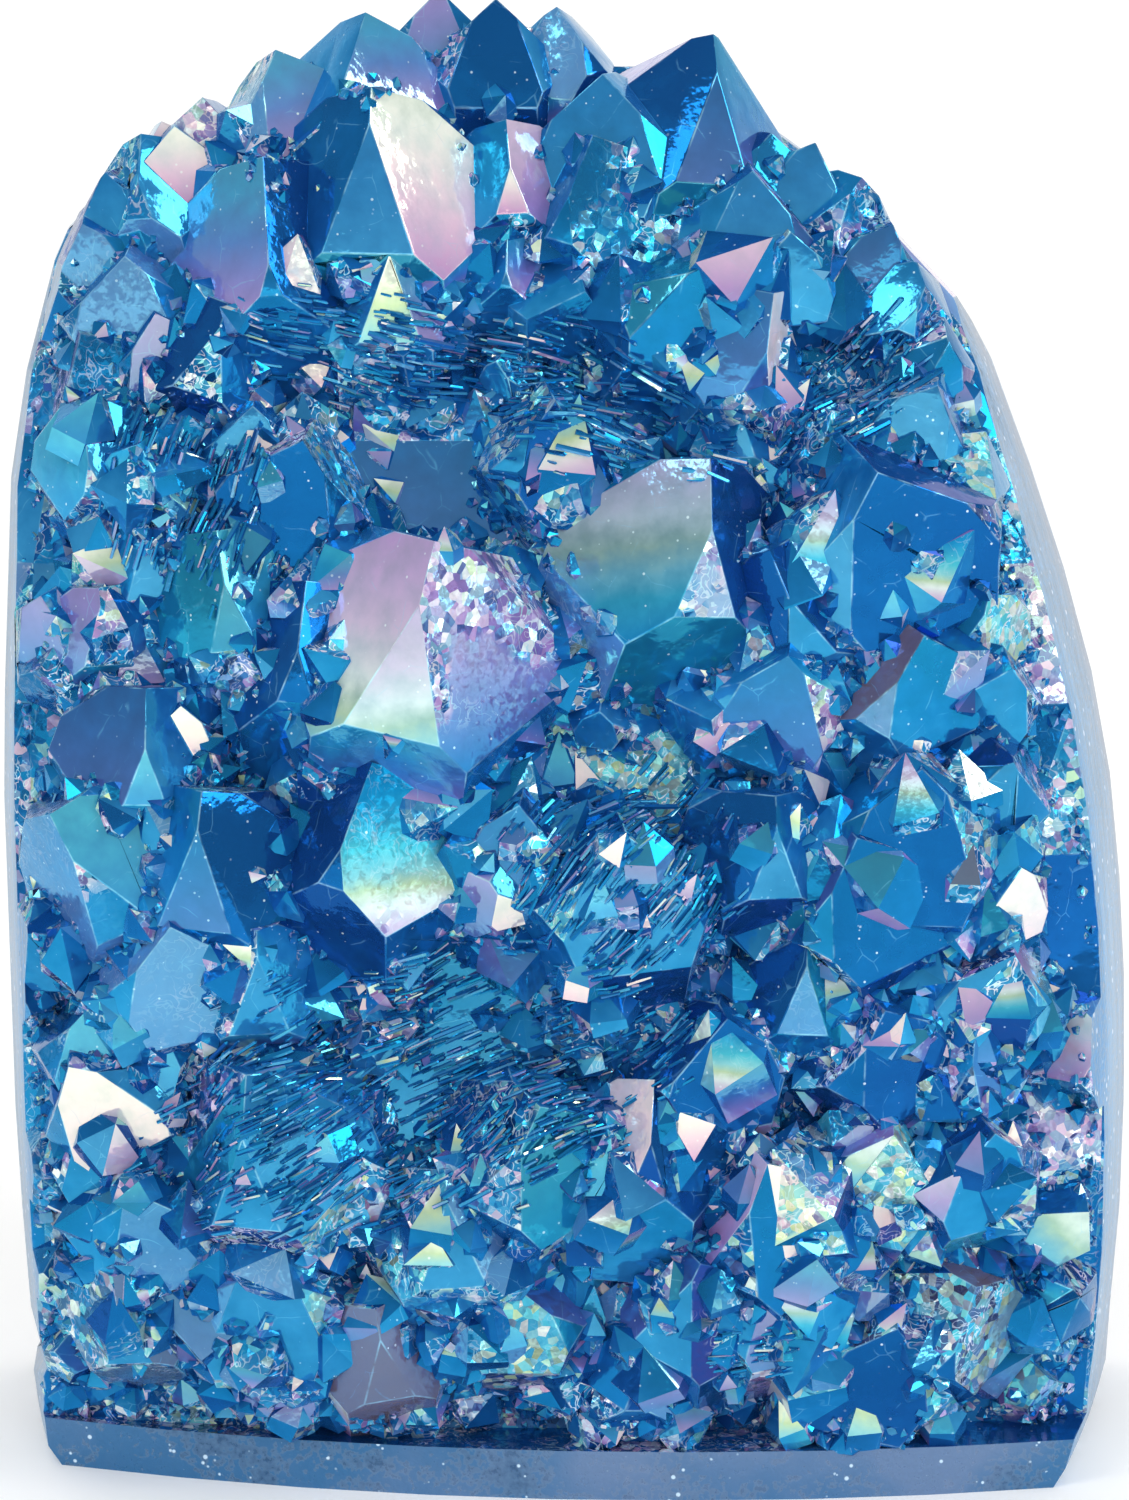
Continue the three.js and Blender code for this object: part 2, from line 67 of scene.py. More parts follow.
NODE = "quartz_cluster"
MERGED = 0.001 * MM  # corners nearer than this are one
FLAT = math.radians(0.6)  # faces that meet at less than this are one flat face
GROUND_BEND = math.radians(8)  # the ground sides bend less than this from face to face
GROUND_FROM = 0.93  # and they reach past this share of the stone's half width
SKIN_BEND = math.radians(38)  # the natural skin bends less than this
SKIN_FROM = 4 * MM  # the crust's crystals reach back to here over the top
BACK_FROM = 0.7  # the back's own faces are past this share of the half depth
SQUARE = 0.9  # a face with this much of its normal along an axis looks that way
LEVEL = 0.99  # and the sawn base is as flat as this, and this near to the floor:
ON_FLOOR = 0.01 * MM
FORWARDS = -0.4  # below this a normal's y looks to the front
LIP_HEIGHT = 3 * MM  # the ground strip under the crystals
FLARE_TOP = 6.3 * MM  # the ground sides flare out to the lip below this,
FLARE_FROM = 0.9  # past this share of the half width,
FLARE_SIDEWAYS = 0.85  # on faces that look at least this much sideways
SMOOTH_BELOW = math.radians(40)  # the rock's own faces are shaded as one where they bend less
WORN = 0.1 * MM  # the width of the worn strip round a facet
WORN_SHARE = 0.3  # and its most, as a share of the widest circle that a small facet holds
CORNER_LEAST = 0.3  # keeps a strip's inner corner from running far in at a sharp corner
EASING = 0.4  # how far a worn corner sinks towards the middle of the strip's inner corners
FULL_HIGHLIGHT_SINK = 0.25  # a corner that sinks by this share of its most shows the whole painted edge highlight
FACET, GROUND, LIP, SKIN, BASE = range(5)  # what a face is, and its material slot


def unit(ways):
    """The ways, each divided by its length."""
    return ways / np.maximum(np.linalg.norm(ways, axis=-1), 1e-12)[..., None]


def joined_mesh(source):
    """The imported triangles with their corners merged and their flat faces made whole."""
    mesh = bpy.data.meshes.new("whole_faces")
    made = bmesh.new()
    made.from_mesh(source)
    bmesh.ops.remove_doubles(made, verts=made.verts, dist=MERGED)
    bmesh.ops.dissolve_limit(made, angle_limit=FLAT, verts=made.verts, edges=made.edges)
    made.to_mesh(mesh)
    made.free()
    return mesh


def read(collection, field, width=1, kind=float):
    """One field of a mesh's vertices, loops or faces, a row for each."""
    values = np.empty(len(collection) * width, kind)
    collection.foreach_get(field, values)
    return values.reshape(-1, width) if width > 1 else values


def mesh_arrays(mesh):
    """Each loop's vertex and place, and each face's first loop, loop count, centre and normal."""
    vertex = read(mesh.loops, "vertex_index", kind=int)
    places = read(mesh.vertices, "co", 3)[vertex]
    start = read(mesh.polygons, "loop_start", kind=int)
    total = read(mesh.polygons, "loop_total", kind=int)
    return vertex, places, start, total, read(mesh.polygons, "center", 3), read(mesh.polygons, "normal", 3)


def mesh_from(name, co, loops, totals, smooth=False):
    """A mesh of the corners co, whose faces take their corners from loops in turn."""
    mesh = bpy.data.meshes.new(name)
    mesh.vertices.add(len(co))
    mesh.vertices.foreach_set("co", co.astype(np.float32).ravel())
    mesh.loops.add(len(loops))
    mesh.loops.foreach_set("vertex_index", loops.astype("i4"))
    mesh.polygons.add(len(totals))
    mesh.polygons.foreach_set("loop_start", (np.cumsum(totals) - totals).astype("i4"))
    mesh.polygons.foreach_set("loop_total", totals.astype("i4"))
    mesh.update(calc_edges=True)
    mesh.polygons.foreach_set("use_smooth", np.full(len(totals), smooth))
    return mesh


def face_pairs(vertex, start, total):
    """Pairs of faces that share an edge: edges are matched by their two vertices, low one first."""
    face = np.repeat(np.arange(len(start)), total)
    after = np.arange(len(vertex)) + 1
    after[start + total - 1] = start
    edge = np.sort(np.stack([vertex, vertex[after]], 1), 1)
    order = np.lexsort((edge[:, 1], edge[:, 0]))
    same = (edge[order][1:] == edge[order][:-1]).all(1)
    return face[order[:-1][same]], face[order[1:][same]]


def grown_from(seeds, first, second, joined):
    """Faces reached from the seeds over the joined pairs, spread one ring of faces at a time."""
    reached = seeds.copy()
    size = -1
    while reached.sum() != size:
        size = reached.sum()
        over = joined & (reached[first] | reached[second])
        reached[first[over]] = True
        reached[second[over]] = True
    return reached


def worn_mesh(mesh, facet):
    """The mesh with a narrow strip round each facet, which slopes as a worn edge does.

    A facet's inner corner is p + w (m + n) / (1 + m . n), where m and n are the inward ways of the
    two edges that meet there and w is the strip's width. A corner that faces share then moves by
    EASING of the way to the middle of the inner corners round it, so that it sinks on a ridge.
    """
    vertex, places, start, total, _, normal = mesh_arrays(mesh)
    face = np.repeat(np.arange(len(start)), total)
    here = np.arange(len(vertex))
    after = here + 1
    after[start + total - 1] = start
    before = np.empty_like(after)
    before[after] = here
    edge = places[after] - places
    inward = np.cross(normal[face], unit(edge))
    corner = inward + inward[before]
    corner /= np.maximum(1 + (inward * inward[before]).sum(1), CORNER_LEAST)[:, None]
    girth = np.bincount(face, np.linalg.norm(edge, axis=1))
    width = np.minimum(WORN, WORN_SHARE * 2 * read(mesh.polygons, "area") / girth) * facet
    inner = places + corner * width[face][:, None]
    count = len(mesh.vertices)
    sunk, out = np.zeros((count, 3)), np.zeros((count, 3))
    np.add.at(sunk, vertex, inner - places)
    np.add.at(out, vertex, normal[face])
    sunk *= EASING / np.bincount(vertex, minlength=count)[:, None]
    # How far a corner sinks on a ridge sets how strongly its painted edge highlight shows.
    ridge = np.clip(-(sunk * unit(out)).sum(1) / (FULL_HIGHLIGHT_SINK * EASING * WORN), 0, 1)
    strips = here[facet[face]]
    quads = np.stack([vertex[strips], vertex[after[strips]], count + after[strips], count + strips], 1)
    loops = np.concatenate([np.where(facet[face], count + here, vertex), quads.ravel()])
    totals = np.concatenate([total, np.full(len(strips), 4)])
    co = np.concatenate([read(mesh.vertices, "co", 3) + sunk, inner])
    made = mesh_from("quartz_stone", co, loops, totals)
    painted_edge_highlight = np.append(ridge, np.zeros(len(inner)))[loops] * (loops < count)
    painted_edge_highlight[: len(vertex)] = 0
    return made, np.append(np.arange(len(start)), face[strips]), painted_edge_highlight


whole_faces = joined_mesh(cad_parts[NODE].data)
vertex, places, start, total, centre, normal = mesh_arrays(whole_faces)
first, second = face_pairs(vertex, start, total)
bend = np.arccos(np.clip((normal[first] * normal[second]).sum(1), -1, 1))
low, high = (np.array(end) for end in cad_box)

base = (centre[:, 2] < ON_FLOOR) & (normal[:, 2] < -LEVEL)
outer = (np.abs(normal[:, 0]) > SQUARE) & (np.abs(centre[:, 0]) > GROUND_FROM * high[0])
foot = (centre[:, 2] < LIP_HEIGHT) & (np.abs(normal[:, 2]) < SQUARE) & ~base
strip = foot & (normal[:, 1] < FORWARDS)
ground = grown_from(outer, first, second, bend < GROUND_BEND) & ~base & ~strip
behind = (normal[:, 1] > SQUARE) & (centre[:, 1] > BACK_FROM * high[1])
skin = grown_from(behind, first, second, bend < SKIN_BEND) & (centre[:, 1] > SKIN_FROM)
kind = np.select([base, strip, ground, skin, foot], [BASE, LIP, GROUND, SKIN, GROUND], FACET)

stone_mesh, facet_of, painted_edge_highlight = worn_mesh(whole_faces, kind == FACET)
flare = (np.abs(centre[:, 0]) > FLARE_FROM * high[0]) & (centre[:, 2] < FLARE_TOP)
flare &= (np.abs(normal[:, 0]) > FLARE_SIDEWAYS) & (kind == FACET)
finishes = np.where(flare, GROUND, kind)[facet_of]
stone_mesh.polygons.foreach_set("material_index", finishes.astype("i4"))
stone_mesh.polygons.foreach_set("use_smooth", finishes != FACET)
stone_mesh.set_sharp_from_angle(angle=SMOOTH_BELOW)

# ---- The stone: the coating's colours and painted lights --------------------------------------
# The film is clear metal oxide. Where it is thin the stone looks blue, and where it lies thicker
# and turns the right way a facet lights up, in a run of colours straight across it. That light is
# painted into the facet's colour: partly the film's own colours, partly a painted highlight.

DOWNHILL = np.array([0.0, 0.0, -1.0])
FROSTED = 0.3  # the share of the facets that are frosted
RIM_FROSTED = 0.75  # and the share at the rim:
RIM_WIDTH = 25 * MM  # beyond this on each side
RIM_TOP = 13 * MM  # and below this
GLEAMING = 0.04  # the share of the facets that light up by chance
CORNER_GLEAMING = 0.2  # and the share in the corner right of the middle
CORNER_TOP = 27 * MM  # and below this,
CORNER_DARKER = 0.18  # where the blue is this much deeper
STEADY = 0.3  # a facet listed as lit keeps this much of its run's turn by chance
TOWARDS_FRONT = 0.1  # facets whose normal's y is below this can be seen from the front

# What the film makes of a facet: where its run of colours begins, how far it goes on down the
# facet, how strongly it shows as painted light, how pale the blue under it is (the quartz's tone
# and a painted shade for what the facet mirrors), how milky the quartz is (or how smoky, below 0),
# how rough the facet grew, and how much of the film's painted light is lost at its foot.
LIGHTS = {
    "plain": (0.02, 0.10, 0.00, 0.42, 0.0, 0.0, 0.0),
    "navy": (0.02, 0.05, 0.00, 0.05, 0.0, 0.0, 0.0),
    "azure": (0.06, 0.08, 0.30, 0.55, 0.0, 0.0, 0.2),
    "snow": (0.49, 0.04, 0.94, 0.85, 0.0, 0.2, 0.0),
    "blush": (0.46, 0.18, 0.95, 0.80, 0.0, 0.1, 0.0),
    "pink": (0.55, 0.13, 0.85, 0.60, 0.0, 0.0, 0.2),
    "rough_pink": (0.50, 0.20, 0.85, 0.60, 0.0, 0.9, 0.3),
    "lilac": (0.68, 0.10, 0.60, 0.50, 0.1, 0.1, 0.3),
    "milky": (0.84, -0.10, 0.12, 0.55, 0.38, 0.3, 0.0),
    "dawn": (0.92, -0.30, 0.75, 0.45, 0.0, 0.0, 0.0),
    "cyan": (0.24, -0.12, 0.75, 0.60, 0.0, 0.0, 0.3),
    "ice": (0.47, -0.15, 0.90, 0.70, 0.0, 0.1, 0.3),
    "rough_ice": (0.34, -0.03, 0.90, 0.60, 0.0, 1.0, 0.2),
    "petal": (0.30, 0.32, 0.85, 0.70, 0.0, 0.0, 0.0),
    "gold": (0.61, -0.26, 0.72, 0.50, 0.0, 0.1, 0.0),
    "blossom": (0.60, -0.25, 0.62, 0.45, 0.0, 0.2, 0.0),
    "rough_gold": (0.14, 0.26, 0.85, 0.50, 0.0, 0.2, 0.0),
    "crust": (0.56, 0.12, 0.80, 0.35, 0.1, 1.0, 1.0),
    "moss": (0.63, -0.52, 0.62, 0.30, 0.0, 0.1, 0.0),
    "shore": (0.53, -0.38, 0.42, 0.20, 0.0, 0.1, 0.0),
    "foil": (0.47, -0.09, 1.00, 0.85, 0.0, 0.65, 0.2),
    "rainbow": (0.10, 0.50, 0.85, 0.30, 0.0, 0.34, 0.1),
    "teal": (0.98, 0.02, 0.40, 0.25, 0.0, 0.0, 0.2),
    "dusk": (0.80, -0.12, 0.20, 0.25, 0.0, 0.0, 0.0),
    "evening": (0.92, -0.18, 0.40, 0.35, 0.05, 0.0, 0.0),
    "smoke": (0.80, 0.05, 0.08, 0.15, -1.0, 0.2, 0.0),
    "olive": (0.34, 0.06, 0.35, 0.20, -0.5, 0.7, 0.0),
    "pewter": (0.84, -0.10, 0.20, 0.10, 0.3, 1.0, 0.0),
}
LIGHT_FIELDS = ("begin", "span", "gleam", "shade", "veil", "frost", "fade")
# How often facets that don't light up, and facets that do, come out each way.
DULL = {"plain": 76, "navy": 8, "azure": 8, "milky": 4, "dusk": 2, "teal": 2}
BRIGHT = {
    "dawn": 20, "cyan": 14, "lilac": 14, "pink": 9, "snow": 7, "ice": 7, "blush": 6,
    "azure": 14, "teal": 3, "moss": 2, "rainbow": 2, "petal": 2,
}  # fmt: skip


def by_chance(count, gleaming, frosted, rng):
    """Lights for facets that take them by chance, a share of them gleaming and a share frosted.

    Each value is then moved a little by chance, and the run of colours is turned. A frosted facet
    is set with grains, so it begins its run anywhere, and the colours show on the grains alone
    where the facet itself doesn't gleam.
    """
    rows = []
    for chances in (DULL, BRIGHT):
        weight = np.array(list(chances.values()), float)
        drawn = rng.choice(len(weight), count, p=weight / weight.sum())
        rows.append(np.array([LIGHTS[name] for name in chances])[drawn])
    bright = rng.random(count) < gleaming
    own = dict(zip(LIGHT_FIELDS, np.where(bright[:, None], rows[1], rows[0]).T))
    own["begin"] = own["begin"] + rng.normal(0, 0.02, count)
    own["span"] = own["span"] * rng.uniform(0.6, 1.2, count)
    own["gleam"] = own["gleam"] * rng.uniform(0.75, 1.0, count)
    own["shade"] = own["shade"] + rng.normal(0, 0.12, count)
    own["turn"] = rng.normal(0, 0.5, count)
    grainy = rng.random(count) < frosted
    own["frost"] = np.where(grainy, rng.uniform(0.4, 1.0, count), own["frost"])
    own["begin"] = np.where(grainy & ~bright, rng.uniform(0.2, 0.75, count), own["begin"])
    own["span"] = np.where(grainy & ~bright, 0, own["span"])
    return own


def rotated(ways, axes, angles):
    """Ways turned about their axes, which are square to them: cos of the way and sin of its side."""
    return ways * np.cos(angles)[:, None] + np.cross(axes, ways) * np.sin(angles)[:, None]


def coat(mesh, facet_of, own, painted_edge_highlight=None):
    """Stores each facet's lights on the mesh, and how far down its facet each corner lies.

    That is 0 at the facet's top and 1 at its bottom, and grows straight down the facet after that
    way is turned about the facet's normal. Where it is s, the film's value is begin + span * s^1.5.
    """
    _, places, _, total, _, normal = mesh_arrays(mesh)
    facets = len(own["gleam"])
    normal = normal[:facets]
    down = unit(DOWNHILL - normal * (normal @ DOWNHILL)[:, None])
    down = rotated(down, normal, own["turn"])
    facet = np.repeat(facet_of, total)
    along = (places * down[facet]).sum(1)
    least, most = np.full(facets, np.inf), np.full(facets, -np.inf)
    np.minimum.at(least, facet, along)
    np.maximum.at(most, facet, along)
    stored = {name: ("FACE", own[name][facet_of]) for name in LIGHT_FIELDS}
    stored["down"] = ("CORNER", (along - least[facet]) / np.maximum(most - least, 1e-9)[facet])
    stored["painted_edge_highlight"] = ("CORNER", np.zeros(len(places)) if painted_edge_highlight is None else painted_edge_highlight)
    for name, (domain, values) in stored.items():
        layer = mesh.attributes.new(name, "FLOAT", domain)
        layer.data.foreach_set("value", values.astype(np.float32))


# The facets that are painted as catching the light, each by the middle that is nearest to a place
# on the front, in mm across and up.
OWN_LIGHTS = {
    "azure": [
        (-14, 84), (2, 79), (-24, 77), (-26.5, 76.5), (-7, 82), (-1, 71), (-23, 71), (-11, 76),
        (-26.5, 62.5), (-19, 63), (-24, 55), (-23, 50), (7, 75), (11, 75), (15, 77), (19, 71),
        (14, 77.5), (-23, 39), (-3, 62), (20, 63), (24, 50), (24, 47), (-16, 33), (-18, 31), (-26, 32),
        (-4, 38), (2, 46), (25, 37), (25, 42), (-27, 20), (-25, 26), (-21, 23), (-15, 23), (-19, 20),
        (-27, 16), (-18, 11), (5, 17), (6, 11), (10, 12), (24, 20), (-2, 34), (4, 37), (13, 72),
    ],
    "snow": [(12, 68), (-26, 24), (-3, 36), (26, 36), (13, 19), (-26.5, 27)],
    "blush": [(-8, 77), (-22, 78), (-3, 77), (-21, 46), (29, 28)],
    "pink": [(-2, 79), (23, 30), (9, 20)],
    "rough_pink": [(-20, 79.5), (27, 50), (26, 54), (15, 48), (9, 46), (25, 23), (28, 24), (-10, 31)],
    "lilac": [
        (-8, 86), (-24, 67), (-29, 52), (-31, 51), (-6, 37), (-4, 35), (16, 23), (-5, 34),
        (11.5, 10.5), (-17, 6),
    ],
    "milky": [
        (-19, 80), (-28, 73), (-26, 70), (-24, 74), (-24, 73), (-30, 37), (-26, 35), (-26, 34),
        (-22, 32), (-23, 16), (-22, 12), (-21, 13), (-20, 14.5), (0, 51), (-1, 85),
    ],
    "dawn": [(-10, 84), (-20, 73), (-7, 70), (-6, 72), (-3, 73), (-16, 81), (-27, 49)],
    "cyan": [
        (-29, 62), (-18, 55), (-24, 42), (-24, 44), (-26, 40), (-2, 44), (10, 61), (-28, 18), (1, 20),
        (15, 9), (-25.8, 27.4),
    ],
    "ice": [(-10, 71), (-22, 60), (-6, 10)],
    "rough_ice": [
        (14, 19), (25, 53), (23, 62), (-1, 40), (-1, 37), (-22, 5), (-20, 6), (-14, 12), (15, 17),
        (-4, 11), (20, 23), (19, 19), (-14, 16), (27, 6), (4, 45), (5, 40),
    ],
    "gold": [(-13, 53), (-7, 9)],
    "blossom": [(-9, 50), (9.5, 22.5)],
    "rough_gold": [(-22, 62), (-25, 60), (14, 50), (27, 12)],
    "crust": [(-5, 52), (-2, 55), (27, 4), (13, 8)],
    "shore": [(4, 58)],
    "moss": [(15, 11), (27, 32)],
    "rainbow": [(-8, 40)],
    "teal": [
        (-22, 54), (-19, 52), (-11, 73), (4, 71), (6, 73), (2, 61), (-1, 22), (0, 11), (13, 10),
        (15, 31), (6, 50),
    ],
    "dusk": [
        (9, 68), (-7, 59), (17, 73), (13, 59), (8, 79), (-27, 45), (-22, 37), (11, 48), (14, 38),
        (24.5, 26.5), (4, 13), (-1, 13), (-3, 40),
    ],
    "evening": [(11, 80.5)],
    "navy": [
        (9, 26), (6, 81), (-4, 84), (-5, 81), (-15, 73.25), (-22, 69), (-17, 59), (-15, 52), (-15, 50),
        (-17, 51), (11, 54), (14, 55), (21, 55), (21, 61), (-17, 42), (-18, 38), (-15, 41), (-14, 34),
        (-13, 39), (9, 40), (11, 35), (12, 32), (9, 33), (4, 30), (6, 28), (20, 40), (6, 23), (-7, 11),
        (19, 7), (15, 25), (22, 22), (19, 27), (10, 57),
    ],
    "smoke": [(-25, 12), (-13, 10), (-9, 10), (-11, 5), (-11, 8), (17, 50), (25, 14)],
    "olive": [(20, 11.5), (26, 10), (17.5, 10.5)],
    "pewter": [(-20, 49)],
}

rim = (np.abs(centre[:, 0]) > RIM_WIDTH) | (centre[:, 2] < RIM_TOP)
corner = (centre[:, 0] > 0) & (centre[:, 2] < CORNER_TOP)
gleaming = np.where(corner, CORNER_GLEAMING, GLEAMING)
frosted = np.where(rim, RIM_FROSTED, FROSTED)
lights = by_chance(len(kind), gleaming, frosted, np.random.default_rng(11))
lights["shade"] -= np.where(corner, CORNER_DARKER, 0)
middles = np.where(normal[:, 1:2] < TOWARDS_FRONT, centre[:, [0, 2]] / MM, np.inf)
for name, spots in OWN_LIGHTS.items():
    nearest = np.linalg.norm(middles - np.array(spots)[:, None], axis=2).argmin(1)
    for field, value in zip(LIGHT_FIELDS, LIGHTS[name]):
        lights[field][nearest] = value
    lights["turn"][nearest] *= STEADY
coat(stone_mesh, facet_of, lights, painted_edge_highlight)

# ---- The stone: its finishes ------------------------------------------------------------------
# Coated crystal, the two ground sides, the polished strip at the foot, the natural skin at the back
# and the sawn base. A pattern's scale is in cells or waves for each metre, so 1000 is one each mm.


def linear(hex_colour):
    """A six-digit sRGB colour as linear red, green, blue and 1."""
    parts = [int(hex_colour[i : i + 2], 16) / 255 for i in (1, 3, 5)]
    return [p / 12.92 if p <= 0.04045 else ((p + 0.055) / 1.055) ** 2.4 for p in parts] + [1.0]


def node(tree, kind, sockets=None, **settings):
    """Adds a node with its settings, and gives each socket a value, a hex colour or a link."""
    made = tree.nodes.new("ShaderNode" + kind)
    for name, value in settings.items():
        setattr(made, name, value)
    for name, value in (sockets or {}).items():
        if isinstance(value, bpy.types.NodeSocket):
            tree.links.new(value, made.inputs[name])
        else:
            made.inputs[name].default_value = linear(value) if isinstance(value, str) else value
    return made


def calc(tree, operation, *values, clamp=False):
    """What a Math node makes of one, two or three values."""
    return node(tree, "Math", dict(enumerate(values)), operation=operation, use_clamp=clamp).outputs[0]


def ways(tree, operation, way, other=None):
    """What a Vector Math node makes of a way and another, or of a way and the number SCALE takes."""
    sockets = {0: way} if other is None else {0: way, 3 if operation == "SCALE" else 1: other}
    return node(tree, "VectorMath", sockets, operation=operation).outputs[0]


def spread(tree, value, low, high, to_low=0.0, to_high=1.0):
    """The value's stretch from low to high, spread from to_low to to_high and held at its ends."""
    return node(tree, "MapRange", {0: value, 1: low, 2: high, 3: to_low, 4: to_high}).outputs[0]


def mixed(tree, share, first, second, **settings):
    """The first colour, with a share of the second over it."""
    sockets = {0: share, 6: first, 7: second}
    return node(tree, "Mix", sockets, data_type="RGBA", **settings).outputs[2]


HAIR = 1 / 255  # the finest step that a run of colours has


def ramp(tree, value, stops, past):
    """The colour at the value on a run of colours, given by their places from 0 to 1.

    Between two places the colours blend evenly. From the last place on it is the colour past, and
    the run's own last colour lies a hair before that.
    """
    made = node(tree, "ValToRGB", {0: value})
    elements = made.color_ramp.elements
    elements.remove(elements[1])
    *run, (end, last) = stops
    for i, (position, colour) in enumerate([*run, (end - HAIR, last), (end, past)]):
        element = elements.new(position) if i else elements[0]
        element.position, element.color = position, linear(colour)
    return made.outputs[0]


def noise(tree, at, scale, detail, give="Fac", distortion=0.0):
    """Clouds of noise, with a number of finer layers."""
    sockets = {"Vector": at, "Scale": scale, "Detail": detail, "Distortion": distortion}
    return node(tree, "TexNoise", sockets).outputs[give]


def specks(tree, at, scale, rarest, widest, hardness):
    """Round specks, one in a cell: only where its chance is past rarest, and up to widest wide."""
    cells = node(tree, "TexVoronoi", {"Vector": at, "Scale": scale})
    chance = node(tree, "SeparateColor", {0: cells.outputs["Color"]}).outputs[1]
    wide = spread(tree, chance, rarest, 1.0, 0.0, widest)
    speck = calc(tree, "SUBTRACT", wide, cells.outputs["Distance"])
    return calc(tree, "MULTIPLY", speck, hardness, clamp=True)


def finish(name, **values):
    """A material with its shader, whose sockets take the values given."""
    material = bpy.data.materials.new(name)
    material.use_nodes = True
    tree = material.node_tree
    shader = tree.nodes["Principled BSDF"]
    for socket, value in values.items():
        shader.inputs[socket.replace("_", " ")].default_value = value
    return material, tree, shader


def feed(tree, shader, **links):
    """Links the shader's sockets to what drives them."""
    for socket, value in links.items():
        tree.links.new(value, shader.inputs[socket.replace("_", " ")])


# Aura quartz: quartz under a vacuum-laid film. The body goes from navy to pale blue, and the film's
# own colours lie over it where a facet gleams, painted as bright as a highlight.
aura_quartz, tree, shader = finish(
    "aura_quartz", IOR=1.55, Thin_Film_IOR=2.0, Specular_IOR_Level=0.15
)
at = node(tree, "TexCoord").outputs["Object"]
stored = {
    name: node(tree, "Attribute", attribute_name=name).outputs["Fac"]
    for name in (*LIGHT_FIELDS, "down", "painted_edge_highlight")
}
clouds = node(tree, "TexNoise", {"Vector": at, "Scale": 110.0, "Detail": 4.0})
cloudy = clouds.outputs["Fac"]
mottle = noise(tree, at, 700.0, 3.0)
patchy = spread(tree, noise(tree, at, 210.0, 3.0), 0.3, 0.7, -0.25, 0.25)

# Rough growth fades towards a facet's foot where the painted light does. Past a middling roughness
# the facet is set with grains of half a millimetre, in patches, each with its own tilt and its own
# painted highlight.
down = calc(tree, "POWER", stored["down"], 1.5)
kept = calc(tree, "SUBTRACT", 1.0, calc(tree, "MULTIPLY", down, stored["fade"]), clamp=True)
frost = calc(tree, "MULTIPLY", stored["frost"], kept)
grains = node(tree, "TexVoronoi", {"Vector": at, "Scale": 1700.0})
grain = node(tree, "SeparateColor", {0: grains.outputs["Color"]})
grainy = spread(tree, calc(tree, "ADD", frost, patchy), 0.5, 0.6)

# The body: its depth of blue goes by the facet, by clouds in it and by each grain, and it is painted
# paler towards a facet's foot, as painted light gathering inside the crystal. Milky and smoky quartz
# then take the blue's place.
depth = calc(tree, "MULTIPLY_ADD", cloudy, 0.8, stored["shade"])
darker = calc(tree, "MULTIPLY", calc(tree, "SUBTRACT", grain.outputs[2], 0.45), grainy)
depth = calc(tree, "MULTIPLY_ADD", darker, 0.5, depth)
depth = calc(tree, "MULTIPLY_ADD", mottle, 0.45, depth)
# Painted light: the blue is paler towards the facet's foot.
depth = calc(tree, "MULTIPLY_ADD", stored["down"], 0.32, depth)
depth = calc(tree, "SUBTRACT", depth, 0.8)
blues = [(0.0, "#123f76"), (0.22, "#15508b"), (0.45, "#1b60a4"), (1.0, "#4197d4")]
body = ramp(tree, depth, blues, past="#2272b7")
milk = mixed(tree, cloudy, "#4f8bca", "#93acd8")
smoke = mixed(tree, cloudy, "#434a60", "#8a7468")
body = mixed(tree, calc(tree, "MAXIMUM", stored["veil"], 0.0), body, milk)
body = mixed(tree, calc(tree, "MULTIPLY", stored["veil"], -1.0, clamp=True), body, smoke)

# The film: its value on the run of colours, and how strongly it shows there.
laid = calc(tree, "MULTIPLY_ADD", down, stored["span"], stored["begin"])
laid = calc(tree, "MULTIPLY_ADD", mottle, 0.06, laid)
laid = calc(tree, "SUBTRACT", laid, 0.03, clamp=True)
apart = calc(tree, "MULTIPLY", calc(tree, "SUBTRACT", grain.outputs[1], 0.5), grainy)
laid = calc(tree, "MULTIPLY_ADD", apart, 0.3, laid, clamp=True)
# The run's pale middle, near white, is painted highlight as well as the film's own colour.
film = [
    (0.0, "#135cab"), (0.14, "#1a8ccb"), (0.28, "#4cc3d3"), (0.35, "#93d6d6"), (0.41, "#c3d7a0"),
    (0.47, "#f2f7f0"), (0.54, "#e8c9e3"), (0.64, "#c088ce"), (0.74, "#957dd0"), (0.82, "#567bd0"),
    (0.90, "#2a9ad0"), (1.0, "#1c8f9f"),
]  # fmt: skip
gleam = calc(tree, "MULTIPLY", stored["gleam"], kept)
# Each grain's own painted highlight.
lit = spread(tree, grain.outputs[0], 0.35, 1.0, -0.35, 1.0)
gleam = calc(tree, "MULTIPLY_ADD", lit, grainy, gleam, clamp=True)
shown = calc(tree, "MULTIPLY", gleam, spread(tree, mottle, 0.3, 0.7, 0.8, 1.1), clamp=True)
colour = mixed(tree, shown, body, ramp(tree, laid, film, past="#32bccb"))

# Healed cracks show as thin pale lines a few millimetres apart, broken off here and there.
bent = ways(tree, "ADD", at, ways(tree, "SCALE", clouds.outputs["Color"], 3 * MM))
cracks = node(tree, "TexVoronoi", {"Vector": bent, "Scale": 300.0}, feature="DISTANCE_TO_EDGE")
crack = spread(tree, cracks.outputs["Distance"], 0.002, 0.012, 0.28, 0.0)
crack = calc(tree, "MULTIPLY", crack, spread(tree, mottle, 0.5, 0.62))
colour = mixed(tree, crack, colour, "#7fc4e8")

